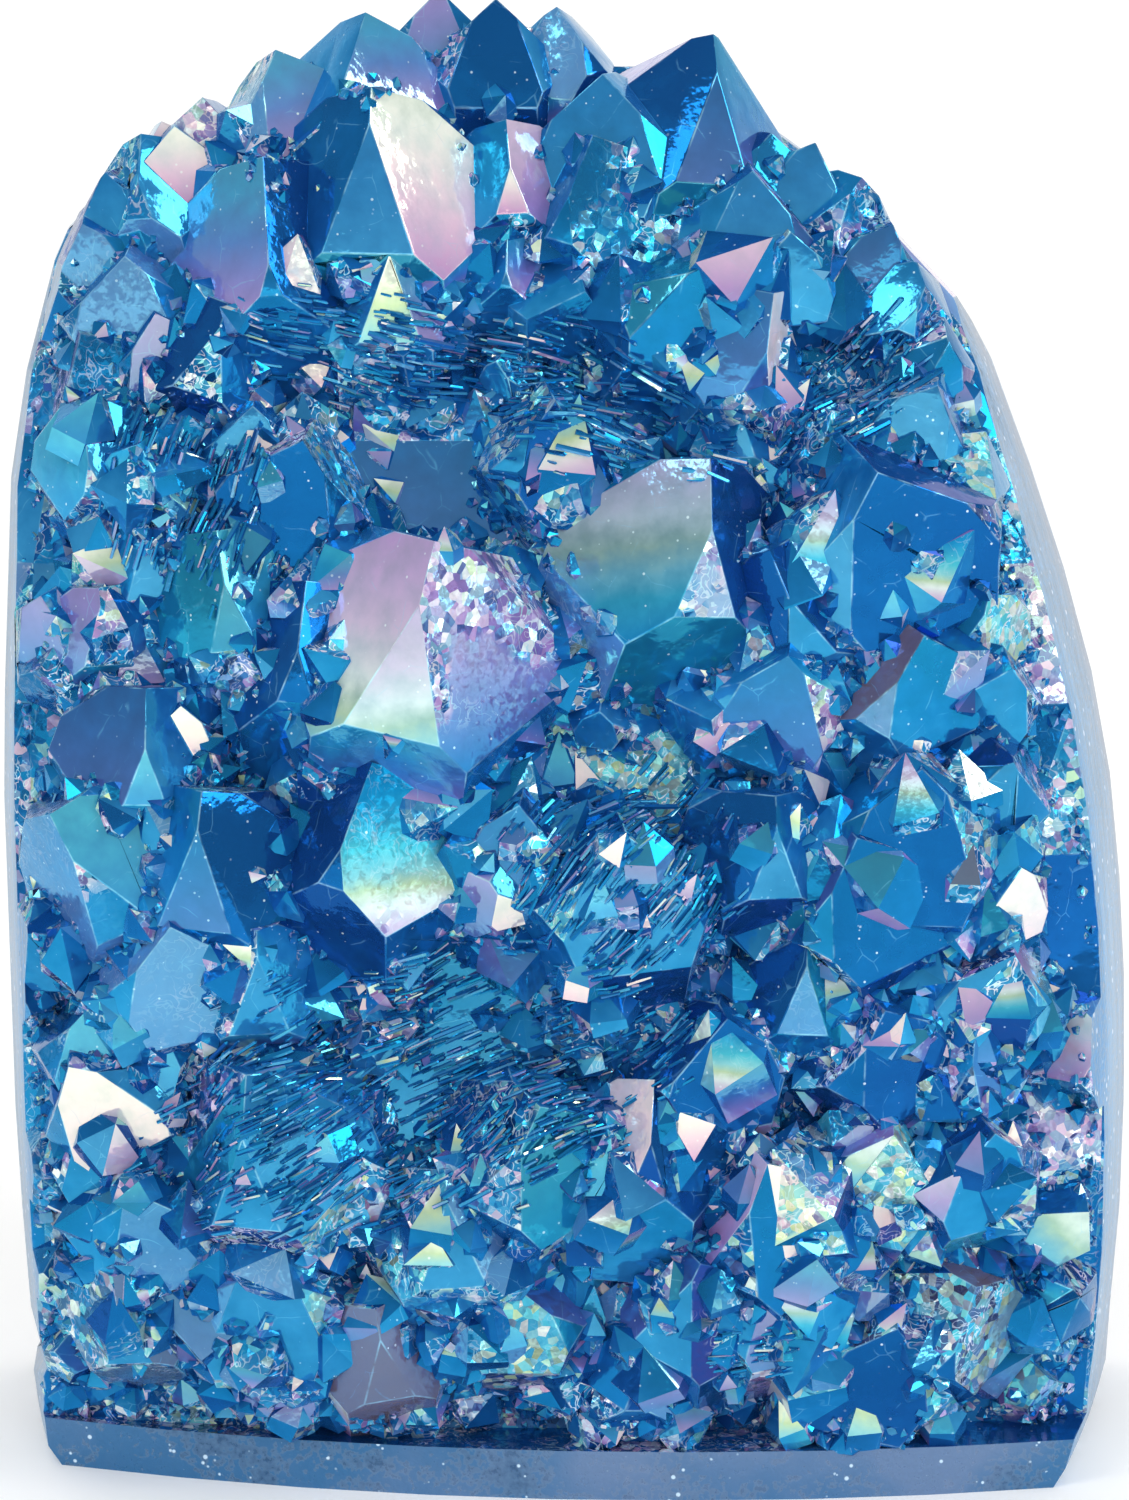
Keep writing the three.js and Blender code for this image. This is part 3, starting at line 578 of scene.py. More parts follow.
# On rough growth the steps get painted highlights along bent, broken lines.
step_highlight = calc(tree, "SUBTRACT", noise(tree, at, 900.0, 1.5, distortion=1.6), 0.5)
step_highlight = spread(tree, calc(tree, "ABSOLUTE", step_highlight), 0.012, 0.035, 1.0, 0.0)
step_highlight = calc(tree, "MULTIPLY", step_highlight, spread(tree, frost, 0.25, 0.6))
step_highlight = calc(tree, "MULTIPLY", step_highlight, spread(tree, patchy, -0.1, 0.12))
colour = mixed(tree, step_highlight, colour, mixed(tree, grain.outputs[2], "#bfeef6", "#fbe6f2"))

# A pale painted highlight runs along the facets' edges, and pale dots stand on the facets.
edge_highlight_shown = calc(tree, "MULTIPLY", stored["painted_edge_highlight"], spread(tree, mottle, 0.42, 0.66, 0.0, 0.75))
colour = mixed(tree, edge_highlight_shown, colour, "#a9dcf0")
pale_dots = specks(tree, at, 2300.0, 0.66, 0.24, 12.0)
pale_dots = calc(tree, "MULTIPLY", pale_dots, spread(tree, patchy, -0.1, 0.15, 0.15, 0.8))
colour = mixed(tree, pale_dots, colour, "#e6f7fb")

metal = calc(tree, "MULTIPLY_ADD", gleam, 0.1, 0.2)
clear = calc(tree, "MULTIPLY_ADD", shown, -0.16, 0.16)
clear = calc(tree, "SUBTRACT", clear, pale_dots, clamp=True)
thick = calc(tree, "MULTIPLY_ADD", laid, gleam, stored["shade"])
thick = calc(tree, "MULTIPLY_ADD", thick, 45.0, 158.0)  # nanometres
rough = calc(tree, "MULTIPLY_ADD", frost, 0.22, 0.05)
rough = calc(tree, "MULTIPLY_ADD", mottle, 0.06, rough)

# A facet waves by a few degrees, a rough one is wrinkled in steps of less than half a millimetre,
# and each grain on it is tilted its own way.
middle = (0.5, 0.5, 0.5)
wave = ways(tree, "SCALE", ways(tree, "SUBTRACT", clouds.outputs["Color"], middle), 0.16)
wrinkle = noise(tree, at, 2400.0, 2.0, "Color", 0.8)
wrinkle = ways(tree, "SUBTRACT", wrinkle, middle)
wrinkle = ways(tree, "SCALE", wrinkle, calc(tree, "MULTIPLY", frost, 1.1))
tilt = ways(tree, "SCALE", ways(tree, "SUBTRACT", grains.outputs["Color"], middle), grainy)
facing = ways(tree, "ADD", node(tree, "NewGeometry").outputs["Normal"], wave)
facing = ways(tree, "ADD", facing, wrinkle)
facing = ways(tree, "NORMALIZE", ways(tree, "ADD", facing, tilt))
pits = {"Height": mottle, "Strength": 0.25, "Distance": 0.2 * MM, "Normal": facing}
feed(
    tree, shader, Base_Color=colour, Metallic=metal, Transmission_Weight=clear,
    Thin_Film_Thickness=thick, Roughness=rough, Normal=node(tree, "Bump", pits).outputs[0],
)  # fmt: skip

# Ground quartz: satin, with the grinder's bands parallel to the crystal edge, and sugar-fine grain.
# The coating thins away from the crystals, so the blue there goes over to grey.
ground_quartz, tree, shader = finish("ground_quartz", Metallic=0.15, Coat_Weight=0.15)
at = node(tree, "TexCoord").outputs["Object"]
place = node(tree, "SeparateXYZ", {0: at})
grain = noise(tree, at, 2600.0, 2.0)
depth = calc(tree, "MULTIPLY_ADD", noise(tree, at, 45.0, 3.0), 4 * MM, place.outputs[1])
greys = [(0.0, "#4686b8"), (0.12, "#6d99c0"), (0.3, "#809fbc"), (1.0, "#8795a8")]
tone = ramp(tree, spread(tree, depth, -7 * MM, 9 * MM), greys, past="#879bb3")
bands = noise(tree, ways(tree, "MULTIPLY", at, (1.0, 1.0, 0.06)), 900.0, 3.0)
band = spread(tree, bands, 0.3, 0.7, -0.12, 0.12)
light = calc(tree, "ADD", band, spread(tree, grain, 0.3, 0.72, -0.22, 0.3))
light = calc(tree, "ADD", light, 0.5, clamp=True)
tone = mixed(tree, 0.55, tone, light, blend_type="OVERLAY")
# Pale specks are painted sparkle.
tone = mixed(tree, specks(tree, at, 1500.0, 0.62, 0.36, 8.0), tone, "#d3e2f2")
rough = spread(tree, grain, 0.3, 0.7, 0.28, 0.6)
relief = calc(tree, "MULTIPLY_ADD", bands, 0.5, grain)
relief = node(tree, "Bump", {"Height": relief, "Strength": 0.7, "Distance": 0.2 * MM})
feed(tree, shader, Base_Color=tone, Roughness=rough, Normal=relief.outputs[0])

# The polished strip at the foot: the same quartz, coated, with level lines, a fine grain and bright
# specks. It is greyer where the coating is worn through.
polished_strip, tree, shader = finish("polished_strip", Metallic=0.2, Coat_Weight=0.15)
at = node(tree, "TexCoord").outputs["Object"]
lines = noise(tree, ways(tree, "MULTIPLY", at, (0.2, 1.0, 1.0)), 900.0, 3.0)
grain = noise(tree, at, 2400.0, 2.0)
tone = calc(tree, "MULTIPLY_ADD", lines, 0.4, noise(tree, at, 130.0, 5.0))
tone = calc(tree, "MULTIPLY_ADD", grain, 0.7, tone)
tone = ramp(tree, tone, [(0.7, "#17466f"), (1.0, "#4a6f93")], past="#2a6391")
worn_through = spread(tree, noise(tree, at, 60.0, 4.0), 0.45, 0.62, 0.0, 0.6)
tone = mixed(tree, worn_through, tone, "#6d7f9f")
tone = mixed(tree, specks(tree, at, 2000.0, 0.72, 0.34, 8.0), tone, "#bcd6ea")
rough = spread(tree, grain, 0.3, 0.7, 0.22, 0.5)
relief = calc(tree, "MULTIPLY_ADD", lines, 0.5, grain)
relief = node(tree, "Bump", {"Height": relief, "Strength": 0.4, "Distance": 0.15 * MM})
feed(tree, shader, Base_Color=tone, Roughness=rough, Normal=relief.outputs[0])

# Natural skin: a knobbly crust of milky quartz, whiter along the crest, stained, and darker in the
# hollows between its knobs.
natural_skin, tree, shader = finish("natural_skin")
at = node(tree, "TexCoord").outputs["Object"]
place = node(tree, "SeparateXYZ", {0: at})
stain = noise(tree, at, 70.0, 5.0)
lumps = noise(tree, at, 480.0, 4.0)
bent = ways(tree, "ADD", at, ways(tree, "SCALE", noise(tree, at, 160.0, 2.0, "Color"), 6 * MM))
knobs = {"Vector": bent, "Scale": 280.0, "Smoothness": 0.4}
knobs = node(tree, "TexVoronoi", knobs, feature="SMOOTH_F1").outputs["Distance"]
grit = node(tree, "TexVoronoi", {"Vector": at, "Scale": 1300.0})
tone = calc(tree, "MULTIPLY_ADD", lumps, 0.5, stain)
tone = calc(tree, "MULTIPLY_ADD", knobs, -0.35, tone)
stains = [(0.25, "#2c4563"), (0.42, "#4f739b"), (0.55, "#7693b2"), (1.0, "#c3cedd")]
crest = spread(tree, place.outputs[2], 76 * MM, 84 * MM, 0.0, 0.6)
tone = mixed(tree, crest, ramp(tree, tone, stains, past="#9db0c6"), "#d8dde6")
fleck = node(tree, "SeparateColor", {0: grit.outputs["Color"]}).outputs[0]
tone = mixed(tree, spread(tree, fleck, 0.8, 0.9, 0.0, 0.55), tone, "#dfe6ee")
rough = spread(tree, lumps, 0.3, 0.7, 0.35, 0.8)
coarse = node(tree, "Bump", {"Height": knobs, "Strength": 0.9, "Distance": -3 * MM}).outputs[0]
fine = calc(tree, "MULTIPLY_ADD", grit.outputs["Distance"], -0.4, lumps)
relief = {"Height": fine, "Strength": 0.8, "Distance": 0.9 * MM, "Normal": coarse}
feed(tree, shader, Base_Color=tone, Roughness=rough, Normal=node(tree, "Bump", relief).outputs[0])

# Sawn quartz: the base, matt and grey-blue, with the blade's arcs and cloudy growth zones.
sawn_quartz, tree, shader = finish("sawn_quartz")
at = node(tree, "TexCoord").outputs["Object"]
zones = noise(tree, at, 60.0, 4.0)
blade = node(tree, "Mapping", {"Vector": at, "Location": (0.12, 0.05, 0.0)}).outputs[0]
arcs = {"Vector": blade, "Scale": 160.0, "Distortion": 1.5, "Detail": 2.0}
arcs = node(tree, "TexWave", arcs, wave_type="RINGS", rings_direction="Z").outputs["Fac"]
tone = calc(tree, "MULTIPLY_ADD", arcs, 0.12, zones)
tone = ramp(tree, tone, [(0.3, "#6d8bab"), (0.8, "#b7c6d8")], past="#93aac4")
rough = spread(tree, zones, 0.3, 0.7, 0.5, 0.7)
relief = node(tree, "Bump", {"Height": arcs, "Strength": 0.3, "Distance": 0.05 * MM})
feed(tree, shader, Base_Color=tone, Roughness=rough, Normal=relief.outputs[0])


def piece(mesh, materials):
    """An object of the mesh that rides on the cluster and takes the coated quartz's slot."""
    made = bpy.data.objects.new(mesh.name, mesh)
    bpy.context.collection.objects.link(made)
    for material in materials:
        mesh.materials.append(material)
    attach(made, "root")
    return made


stone = piece(stone_mesh, [aura_quartz, ground_quartz, polished_strip, natural_skin, sawn_quartz])
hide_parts(NODE)

# ---- Small crystals ---------------------------------------------------------------------------
# Between the large crystals smaller ones crowd, down to grains like sugar. They stand where the
# stone is hollow or creased, each a six-sided prism with a six-sided point, all grown together.

FACES = 6
POINT_SLOPE = math.radians(51.8)  # between the axis and the way a pointed face looks
SAMPLES = 16000  # places looked at on the stone
HOLLOW_REACH = 2.6  # mm round a place that tell whether it is hollow
CREASE_REACH = 0.9  # mm round a place that tell whether it is in the middle of a flat face
ONE_FACE = 0.98  # the least cosine between normals of places on one flat face
SIDE_STEPS = (4.0, 2.5, 1.5, 0.8)  # mm from a ground side that are told apart
FAR_OFF = 9.0  # mm given to places that are farther from it than all of these
BLOCK = 500  # places measured against the others at a time
CLEAR = 0.1  # mm that a tip stays inside the stone's box
ROOT_DEPTH = 0.8  # a crystal's foot lies this many half widths under the stone's surface,
OVER_LIP = 0.8  # and the crystal stays as many above the lip
UNEVEN = 0.3  # how unevenly its faces grew
NEEDLE_RISE = 0.08  # how far a needle lifts off the stone that it lies on
NEAR_SIDE = 2.5  # mm from a ground side within which crystals stand nearly straight,
UPRIGHT = 0.15  # with this share of their lean sideways
UP = np.array([0.0, 0.0, 1.0])


def scattered(mesh, chosen, count, rng):
    """Places spread evenly over the chosen faces, in mm, with their normals.

    Triangles are drawn in proportion to their area, and a place on one is a + u(b - a) + v(c - a).
    """
    mesh.calc_loop_triangles()
    corners = read(mesh.loop_triangles, "vertices", 3, int)
    face = read(mesh.loop_triangles, "polygon_index", kind=int)
    a, b, c = (read(mesh.vertices, "co", 3) / MM)[corners].transpose(1, 0, 2)
    cross = np.cross(b - a, c - a)
    weight = np.linalg.norm(cross, axis=1) * chosen[face]
    drawn = rng.choice(len(weight), count, p=weight / weight.sum())
    u, v = rng.random((2, count, 1))
    fold = u + v > 1
    u, v = np.where(fold, 1 - u, u), np.where(fold, 1 - v, v)
    spots = a[drawn] + u * (b - a)[drawn] + v * (c - a)[drawn]
    return spots, unit(cross)[drawn]


def blocks(count):
    """Runs of row numbers, short enough to measure each against every other place at once."""
    return np.array_split(np.arange(count), count // BLOCK + 1)


def within(spots, others, reach):
    """Slices of a table that tells which of the others lie within reach of each spot."""
    reach = np.broadcast_to(reach, len(spots))[:, None]
    for rows in blocks(len(spots)):
        here = spots[rows]
        gap = (here**2).sum(1)[:, None] + (others**2).sum(1) - 2 * here @ others.T
        yield rows, gap < reach[rows] ** 2


def thinned(spots, spacing, rng):
    """Which spots to keep, so that none has a better-ranked one within its spacing."""
    rank = rng.permutation(len(spots))
    keep = np.ones(len(spots), bool)
    for rows, near in within(spots, spots, spacing):
        keep[rows] = ~(near & (rank < rank[rows, None])).any(1)
    return keep


def crystals_mesh(name, spots, axes, across, half, rise, root, uneven, rng):
    """Prisms with six-sided points, their faces listed point first, then prism, then foot.

    A ring of six corners at the shoulder and one at the foot go round the axis at
    half / cos 30 deg. The shoulder's corners are at uneven heights and the tip stands aside of the
    axis, so that the point's faces differ in size. The first face looks 30 deg round from across.
    """
    count = len(spots)
    aside = np.cross(axes, across)
    angle = np.arange(FACES) * (math.tau / FACES)
    squash = 1 + uneven * rng.random((count, 1)) * np.cos(2 * angle)
    reach = (half / math.cos(math.pi / FACES))[:, None] * squash
    ring = across[:, None] * (reach * np.cos(angle))[..., None]
    ring = ring + aside[:, None] * (reach * np.sin(angle))[..., None]
    slope = math.tan(POINT_SLOPE)
    drop = half[:, None] * slope * rng.uniform(1 - 1.3 * uneven, 1 + 0.8 * uneven, (count, FACES))
    offset = rng.uniform(-0.7, 0.7, (count, 2)) * uneven * half[:, None]
    tip = spots + axes * rise[:, None] + across * offset[:, :1] + aside * offset[:, 1:]
    shoulder = spots[:, None] + ring + axes[:, None] * (rise[:, None] - drop)[..., None]
    foot = spots[:, None] + ring - axes[:, None] * root[:, None, None]
    co = np.concatenate([tip[:, None], shoulder, foot], 1).reshape(-1, 3)
    near = np.arange(FACES)
    far = (near + 1) % FACES
    point = np.stack([np.zeros(FACES, int), 1 + near, 1 + far], 1)
    prism = np.stack([1 + near, 1 + FACES + near, 1 + FACES + far, 1 + far], 1)
    under = 1 + FACES + near[::-1]
    pattern = np.concatenate([point.ravel(), prism.ravel(), under])
    loops = (pattern + (np.arange(count) * (1 + 2 * FACES))[:, None]).ravel()
    totals = np.tile([3] * FACES + [4] * FACES + [FACES], count)
    return mesh_from(name, co * MM, loops, totals)


rng = np.random.default_rng(7)
spots, normals = scattered(stone_mesh, kind[facet_of] == FACET, SAMPLES, rng)
sides, side_normals = scattered(stone_mesh, kind[facet_of] == GROUND, SAMPLES // 2, rng)
hollow = np.empty(SAMPLES)
outward = np.empty((SAMPLES, 3))
for rows, near in within(spots, spots, HOLLOW_REACH):
    share = near / near.sum(1)[:, None]
    outward[rows] = unit(share @ normals)
    hollow[rows] = ((share @ spots - spots[rows]) * outward[rows]).sum(1)
crease = np.empty(SAMPLES)
for rows, near in within(spots, spots, CREASE_REACH):
    crease[rows] = (near * (normals[rows] @ normals.T < ONE_FACE)).sum(1) / near.sum(1)
to_side = np.full(SAMPLES, FAR_OFF)
for reach in SIDE_STEPS:
    for rows, near in within(spots, sides, reach):
        to_side[rows[near.any(1)]] = reach


def depth_inside(points):
    """How far the points lie inside the ground sides, by the plane at the nearest place on them."""
    depth = np.empty(len(points))
    for rows in blocks(len(points)):
        here = points[rows]
        nearest = ((sides**2).sum(1) - 2 * here @ sides.T).argmin(1)
        depth[rows] = ((sides[nearest] - here) * side_normals[nearest]).sum(1)
    return depth


def grown(
    name, fit, seed, spacing, half, rise, lean, up=0.0, gleaming=0.15, frosted=0.0, along=None, bunch=1
):
    """Crystals at the fit places, thinned to their spacing, with rise times half for a height.

    Each stands along the stone's outward way there, leant by chance and upwards, or it lies along
    a given way in a bunch of its like. One that would stick out past the box or a side is left out.
    """
    rng = np.random.default_rng(seed)
    fit = np.flatnonzero(fit)
    fit = np.repeat(fit[thinned(spots[fit], spacing, rng)], bunch)
    here = spots[fit]
    if bunch > 1:
        aside = spacing * rng.normal(size=here.shape)
        here = here + aside - outward[fit] * (aside * outward[fit]).sum(1)[:, None]
    halves = rng.uniform(half[0], half[1], len(here)) * rng.uniform(0.75, 1.25, len(here))
    axes = outward[fit] + lean * rng.normal(size=here.shape) + up * UP
    if along is not None:
        flat = along - outward[fit] * (outward[fit] @ along)[:, None]
        axes = unit(flat) + NEEDLE_RISE * outward[fit] + lean * rng.normal(size=here.shape)
    axes[to_side[fit] <= NEAR_SIDE, 0] *= UPRIGHT
    axes = unit(axes)
    rises = halves * rng.uniform(rise[0], rise[1], len(here))
    tips = here + axes * rises[:, None]
    inside = ((tips > low / MM + CLEAR) & (tips < high / MM - CLEAR)).all(1)
    inside &= np.minimum(tips[:, 2], here[:, 2]) > LIP_HEIGHT / MM + OVER_LIP * halves
    inside &= np.minimum(depth_inside(here), depth_inside(tips)) > halves
    here, axes, halves, rises = here[inside], axes[inside], halves[inside], rises[inside]
    across = unit(np.cross(axes, rng.normal(size=here.shape)))
    root = halves * ROOT_DEPTH
    mesh = crystals_mesh(name, here, axes, across, halves, rises, root, UNEVEN, rng)
    faces = len(mesh.polygons)
    coat(mesh, np.arange(faces), by_chance(faces, gleaming, frosted, rng))
    return piece(mesh, [aura_quartz])


def patch(x, z, across, upward, turn=0.0):
    """1 in the middle of an oval on the front and 0.37 on its edge, all in mm and degrees."""
    c, s = math.cos(math.radians(turn)), math.sin(math.radians(turn))
    right, rise = spots[:, 0] - x, spots[:, 2] - z
    u, v = right * c + rise * s, rise * c - right * s
    return np.exp(-((u / across) ** 2) - (v / upward) ** 2)


# Where bundles of needles lie on the stone, with the way that each points, in degrees round from
# the right, and where there are patches of grains like sugar.
STREAKS = [
    (patch(-9, 26, 13.5, 7, 15), 25),
    (patch(-5, 66.5, 13, 3.5, -12), -12),
    (patch(16.5, 66, 5, 2.5, 45), 45),
    (patch(3, 39, 5, 6, 60), 50),
    (patch(-22, 59, 4, 5, 80), 70),
    (patch(11.5, 9.5, 4, 2, 10), 10),
]
sugar = patch(-11.4, 83, 1.6, 0.9) + patch(-17, 78.5, 1.5, 2)
sugar = sugar + patch(-24, 60, 1.6, 3.4) + patch(-2, 57, 1.6, 2.4)

# Each kind grows on a share of the places that suit it. Small points crowd towards the foot, and
# all but the fringe thin out on the crest. Heights are in mm.
FOOT_BAND = (8, 24)  # small points are at their most below it and usual above it
CREST_BAND = (68, 76)  # crystals are usual below it and few above it
OVER_THE_TOP = 55  # only above this can a place look backwards
GRAIN_BAND = 2.2  # grains line the lip up to this above it
EDGE_BAND = 1.6  # and the ground sides within this of them
chance = rng.random((4, SAMPLES))
streaks = sum(weight for weight, _ in STREAKS)
height = spots[:, 2]
bottom = np.clip((FOOT_BAND[1] - height) / (FOOT_BAND[1] - FOOT_BAND[0]), 0, 1)
crest = 1 - 0.85 * np.clip((height - CREST_BAND[0]) / (CREST_BAND[1] - CREST_BAND[0]), 0, 1)
forwards = (outward[:, 1] < FORWARDS) | (height < OVER_THE_TOP)
creased = (crease > 0.08) & (hollow > -0.25) & forwards
middling = creased & (hollow > 0) & (chance[0] < (0.25 - 0.2 * streaks) * crest)
small = creased & (chance[1] < (0.22 + 0.5 * bottom) * crest)
fine = (crease > 0.15) & (hollow > 0.1) & forwards & (chance[3] < crest) | (sugar > 0.4)
edge = (to_side < EDGE_BAND) | (height < LIP_HEIGHT / MM + GRAIN_BAND)

grown(
    "middling_points", middling, 21, spacing=1.6, half=(1.2, 2.3), rise=(0.4, 0.9), lean=0.32,
    up=0.55, gleaming=0.12, frosted=0.3,
)  # fmt: skip
grown(
    "small_points", small, 23, spacing=0.95, half=(0.55, 1.15), rise=(0.45, 1.1), lean=0.4,
    up=0.45, gleaming=0.16, frosted=0.3,
)  # fmt: skip
grown(
    "fine_points", fine, 22, spacing=0.42, half=(0.22, 0.5), rise=(0.6, 1.3), lean=0.5,
    up=0.3, gleaming=0.22, frosted=0.5,
)  # fmt: skip
grown(
    "fringe", edge, 24, spacing=0.36, half=(0.18, 0.45), rise=(0.5, 1.2), lean=0.5,
    up=0.3, gleaming=0.4, frosted=0.7,
)  # fmt: skip
for i, (weight, turn) in enumerate(STREAKS):
    way = np.array([math.cos(math.radians(turn)), 0, math.sin(math.radians(turn))])
    grown(
        f"needles_{i + 1}", forwards & (chance[2] < 1.6 * weight - 0.3), 31 + i, spacing=0.5,
        half=(0.06, 0.13), rise=(8.0, 18.0), lean=0.05, along=way, bunch=4,
    )  # fmt: skip

# ---- Crystals that catch the light ------------------------------------------------------------
# Small crystals with one pointed face turned square to the front, where the film's colours are
# painted lit as a highlight. Each grows out of the stone behind it, so that its bright face stands
# just clear of the stone.

PROUD = 0.12  # how far the bright face's middle stands clear of the stone, in half widths
TILT = 0.12  # how unevenly the bright faces look forwards
ROOT = 2.2  # how deep a crystal's foot lies, in half widths
TIP_REACH = 1.05  # from the bright face's middle to the tip, in half widths
LIP_GAP = 1.3  # the least height of that middle above the lip, in half widths
ACCENT_UNEVEN = 0.12
FRONT = np.array([0.0, -1.0, 0.15])  # the way that the bright faces look

# Each one's place across and up in mm, half its width, the way its tip points in degrees round
# from the right, and its light.
ACCENTS = [
    (9.5, 72.7, 2.8, 40, "pink"), (-18.0, 63.2, 1.5, 100, "snow"), (-14.5, 66.8, 1.4, 45, "snow"),
    (-15.6, 63.5, 0.7, 80, "blush"), (-12.8, 64.1, 1.1, 150, "snow"), (-10.6, 63.1, 1.6, 160, "ice"),
    (-13.4, 62.9, 0.9, 120, "snow"), (-10.4, 60.0, 1.1, 150, "ice"), (-10.9, 61.7, 0.9, 160, "lilac"),
    (-17.2, 61.4, 1.3, 100, "teal"), (-12.9, 55.6, 1.9, 200, "dawn"),
    (-26.5, 53.0, 1.9, 100, "rough_pink"), (-24.9, 50.3, 2.4, 100, "dawn"),
    (-28.0, 64.1, 1.8, 60, "cyan"), (-24.0, 66.0, 1.4, 110, "rough_pink"), (0.2, 62.9, 2.8, 80, "petal"),
    (-1.8, 62.1, 1.5, 100, "dawn"), (11.2, 60.6, 2.0, 110, "cyan"), (11.7, 62.4, 1.1, 120, "snow"),
    (12.3, 65.6, 1.6, 110, "pink"), (13.2, 65.4, 1.1, 60, "blush"), (10.8, 64.4, 1.1, 270, "cyan"),
    (8.0, 67.8, 1.4, 150, "ice"), (7.0, 66.8, 1.2, 130, "ice"), (5.9, 68.2, 1.0, 110, "rough_ice"),
    (1.8, 60.3, 1.5, 100, "dusk"), (15.8, 63.7, 1.0, 270, "blush"), (14.4, 57.5, 3.0, 80, "moss"),
    (20.9, 56.1, 2.8, 45, "rainbow"), (23.7, 63.5, 0.9, 90, "cyan"), (23.0, 65.2, 1.0, 100, "lilac"),
    (18.3, 53.9, 1.1, 90, "cyan"), (-18.1, 38.6, 0.8, 10, "gold"), (-18.6, 34.2, 1.3, 160, "ice"),
    (-11.6, 30.8, 1.0, 100, "snow"), (-12.1, 31.7, 0.8, 130, "snow"), (-25.6, 30.0, 1.9, 110, "teal"),
    (-6.0, 37.2, 1.2, 90, "cyan"), (-3.0, 41.1, 1.3, 80, "dusk"), (-1.5, 40.0, 1.3, 110, "ice"),
    (2.6, 40.6, 1.2, 60, "snow"), (4.1, 40.6, 1.5, 90, "teal"), (3.1, 37.9, 1.5, 90, "lilac"),
    (4.0, 36.6, 1.1, 90, "snow"), (-0.6, 44.1, 1.9, 90, "cyan"), (0.9, 43.6, 1.4, 110, "snow"),
    (8.3, 46.2, 1.3, 50, "pink"), (9.0, 45.6, 1.0, 110, "rough_pink"), (11.1, 41.1, 1.6, 60, "teal"),
    (12.7, 41.7, 1.2, 70, "ice"), (13.8, 41.1, 1.1, 200, "pink"), (-3.4, 33.9, 2.3, 130, "dusk"),
    (0.6, 33.2, 1.2, 80, "cyan"), (-2.9, 29.7, 1.3, 270, "lilac"), (9.2, 28.1, 2.8, 115, "rainbow"),
    (6.7, 38.1, 1.0, 60, "pink"), (1.8, 37.4, 1.7, 90, "cyan"), (19.5, 43.4, 2.3, 100, "moss"),
    (17.0, 39.2, 2.8, 150, "teal"), (17.9, 37.4, 1.3, 300, "snow"), (15.1, 31.4, 2.6, 100, "moss"),
    (18.7, 29.6, 1.2, 60, "snow"), (18.0, 29.2, 1.3, 200, "pink"), (19.8, 29.0, 1.3, 20, "teal"),
    (22.7, 38.9, 1.5, 80, "smoke"), (24.3, 36.1, 1.8, 100, "teal"), (23.4, 30.9, 2.0, 120, "pink"),
    (25.5, 31.1, 2.2, 80, "moss"), (23.8, 28.3, 1.5, 90, "dusk"), (28.5, 30.4, 0.8, 0, "snow"),
    (22.7, 33.9, 1.0, 100, "blush"), (27.9, 29.5, 1.3, 90, "teal"), (19.8, 45.9, 0.7, 160, "snow"),
    (-26.3, 11.8, 1.8, 100, "navy"), (-21.7, 3.3, 1.6, 270, "smoke"), (-16.0, 7.8, 0.8, 100, "snow"),
    (-16.5, 5.3, 1.5, 60, "lilac"), (-7.7, 18.8, 2.1, 80, "ice"), (-8.1, 16.3, 1.6, 200, "ice"),
    (-14.3, 15.8, 1.2, 150, "snow"), (-18.7, 21.5, 0.8, 90, "pink"), (-14.3, 22.4, 1.5, 200, "cyan"),
    (-25.2, 19.9, 1.2, 200, "cyan"), (-6.1, 12.0, 1.2, 60, "ice"), (-6.4, 22.4, 1.1, 100, "ice"),
    (-5.1, 21.2, 1.2, 90, "teal"), (2.9, 19.0, 2.1, 60, "gold"), (5.6, 23.6, 2.1, 90, "teal"),
    (7.0, 23.6, 2.1, 140, "blush"), (8.3, 21.5, 1.8, 130, "blush"), (10.5, 20.3, 1.4, 90, "lilac"),
    (13.1, 19.5, 3.3, 110, "foil"), (13.5, 15.8, 2.1, 80, "foil"), (0.6, 12.6, 1.3, 90, "dusk"),
    (1.9, 12.2, 1.3, 120, "gold"), (5.5, 12.7, 1.2, 90, "ice"), (6.4, 14.1, 1.4, 100, "teal"),
    (-6.6, 10.2, 1.4, 80, "ice"), (-6.9, 8.0, 1.1, 200, "gold"), (-3.3, 10.7, 1.4, 90, "cyan"),
    (13.0, 3.0, 1.4, 110, "ice"), (16.8, 22.8, 1.9, 60, "lilac"), (18.2, 18.3, 1.3, 110, "snow"),
    (23.3, 22.1, 1.5, 80, "lilac"), (25.8, 22.6, 1.0, 90, "snow"), (14.4, 8.7, 3.0, 100, "rough_ice"),
    (13.3, 13.2, 2.5, 150, "moss"), (17.5, 5.2, 1.8, 90, "ice"), (22.2, 3.0, 1.3, 90, "teal"),
    (22.1, 10.6, 1.2, 90, "olive"), (19.1, 11.4, 1.3, 60, "gold"), (-21.0, 47.8, 1.8, 90, "cyan"),
    (-25.3, 59.6, 1.4, 100, "gold"), (-7.0, 58.0, 0.9, 90, "gold"),
]

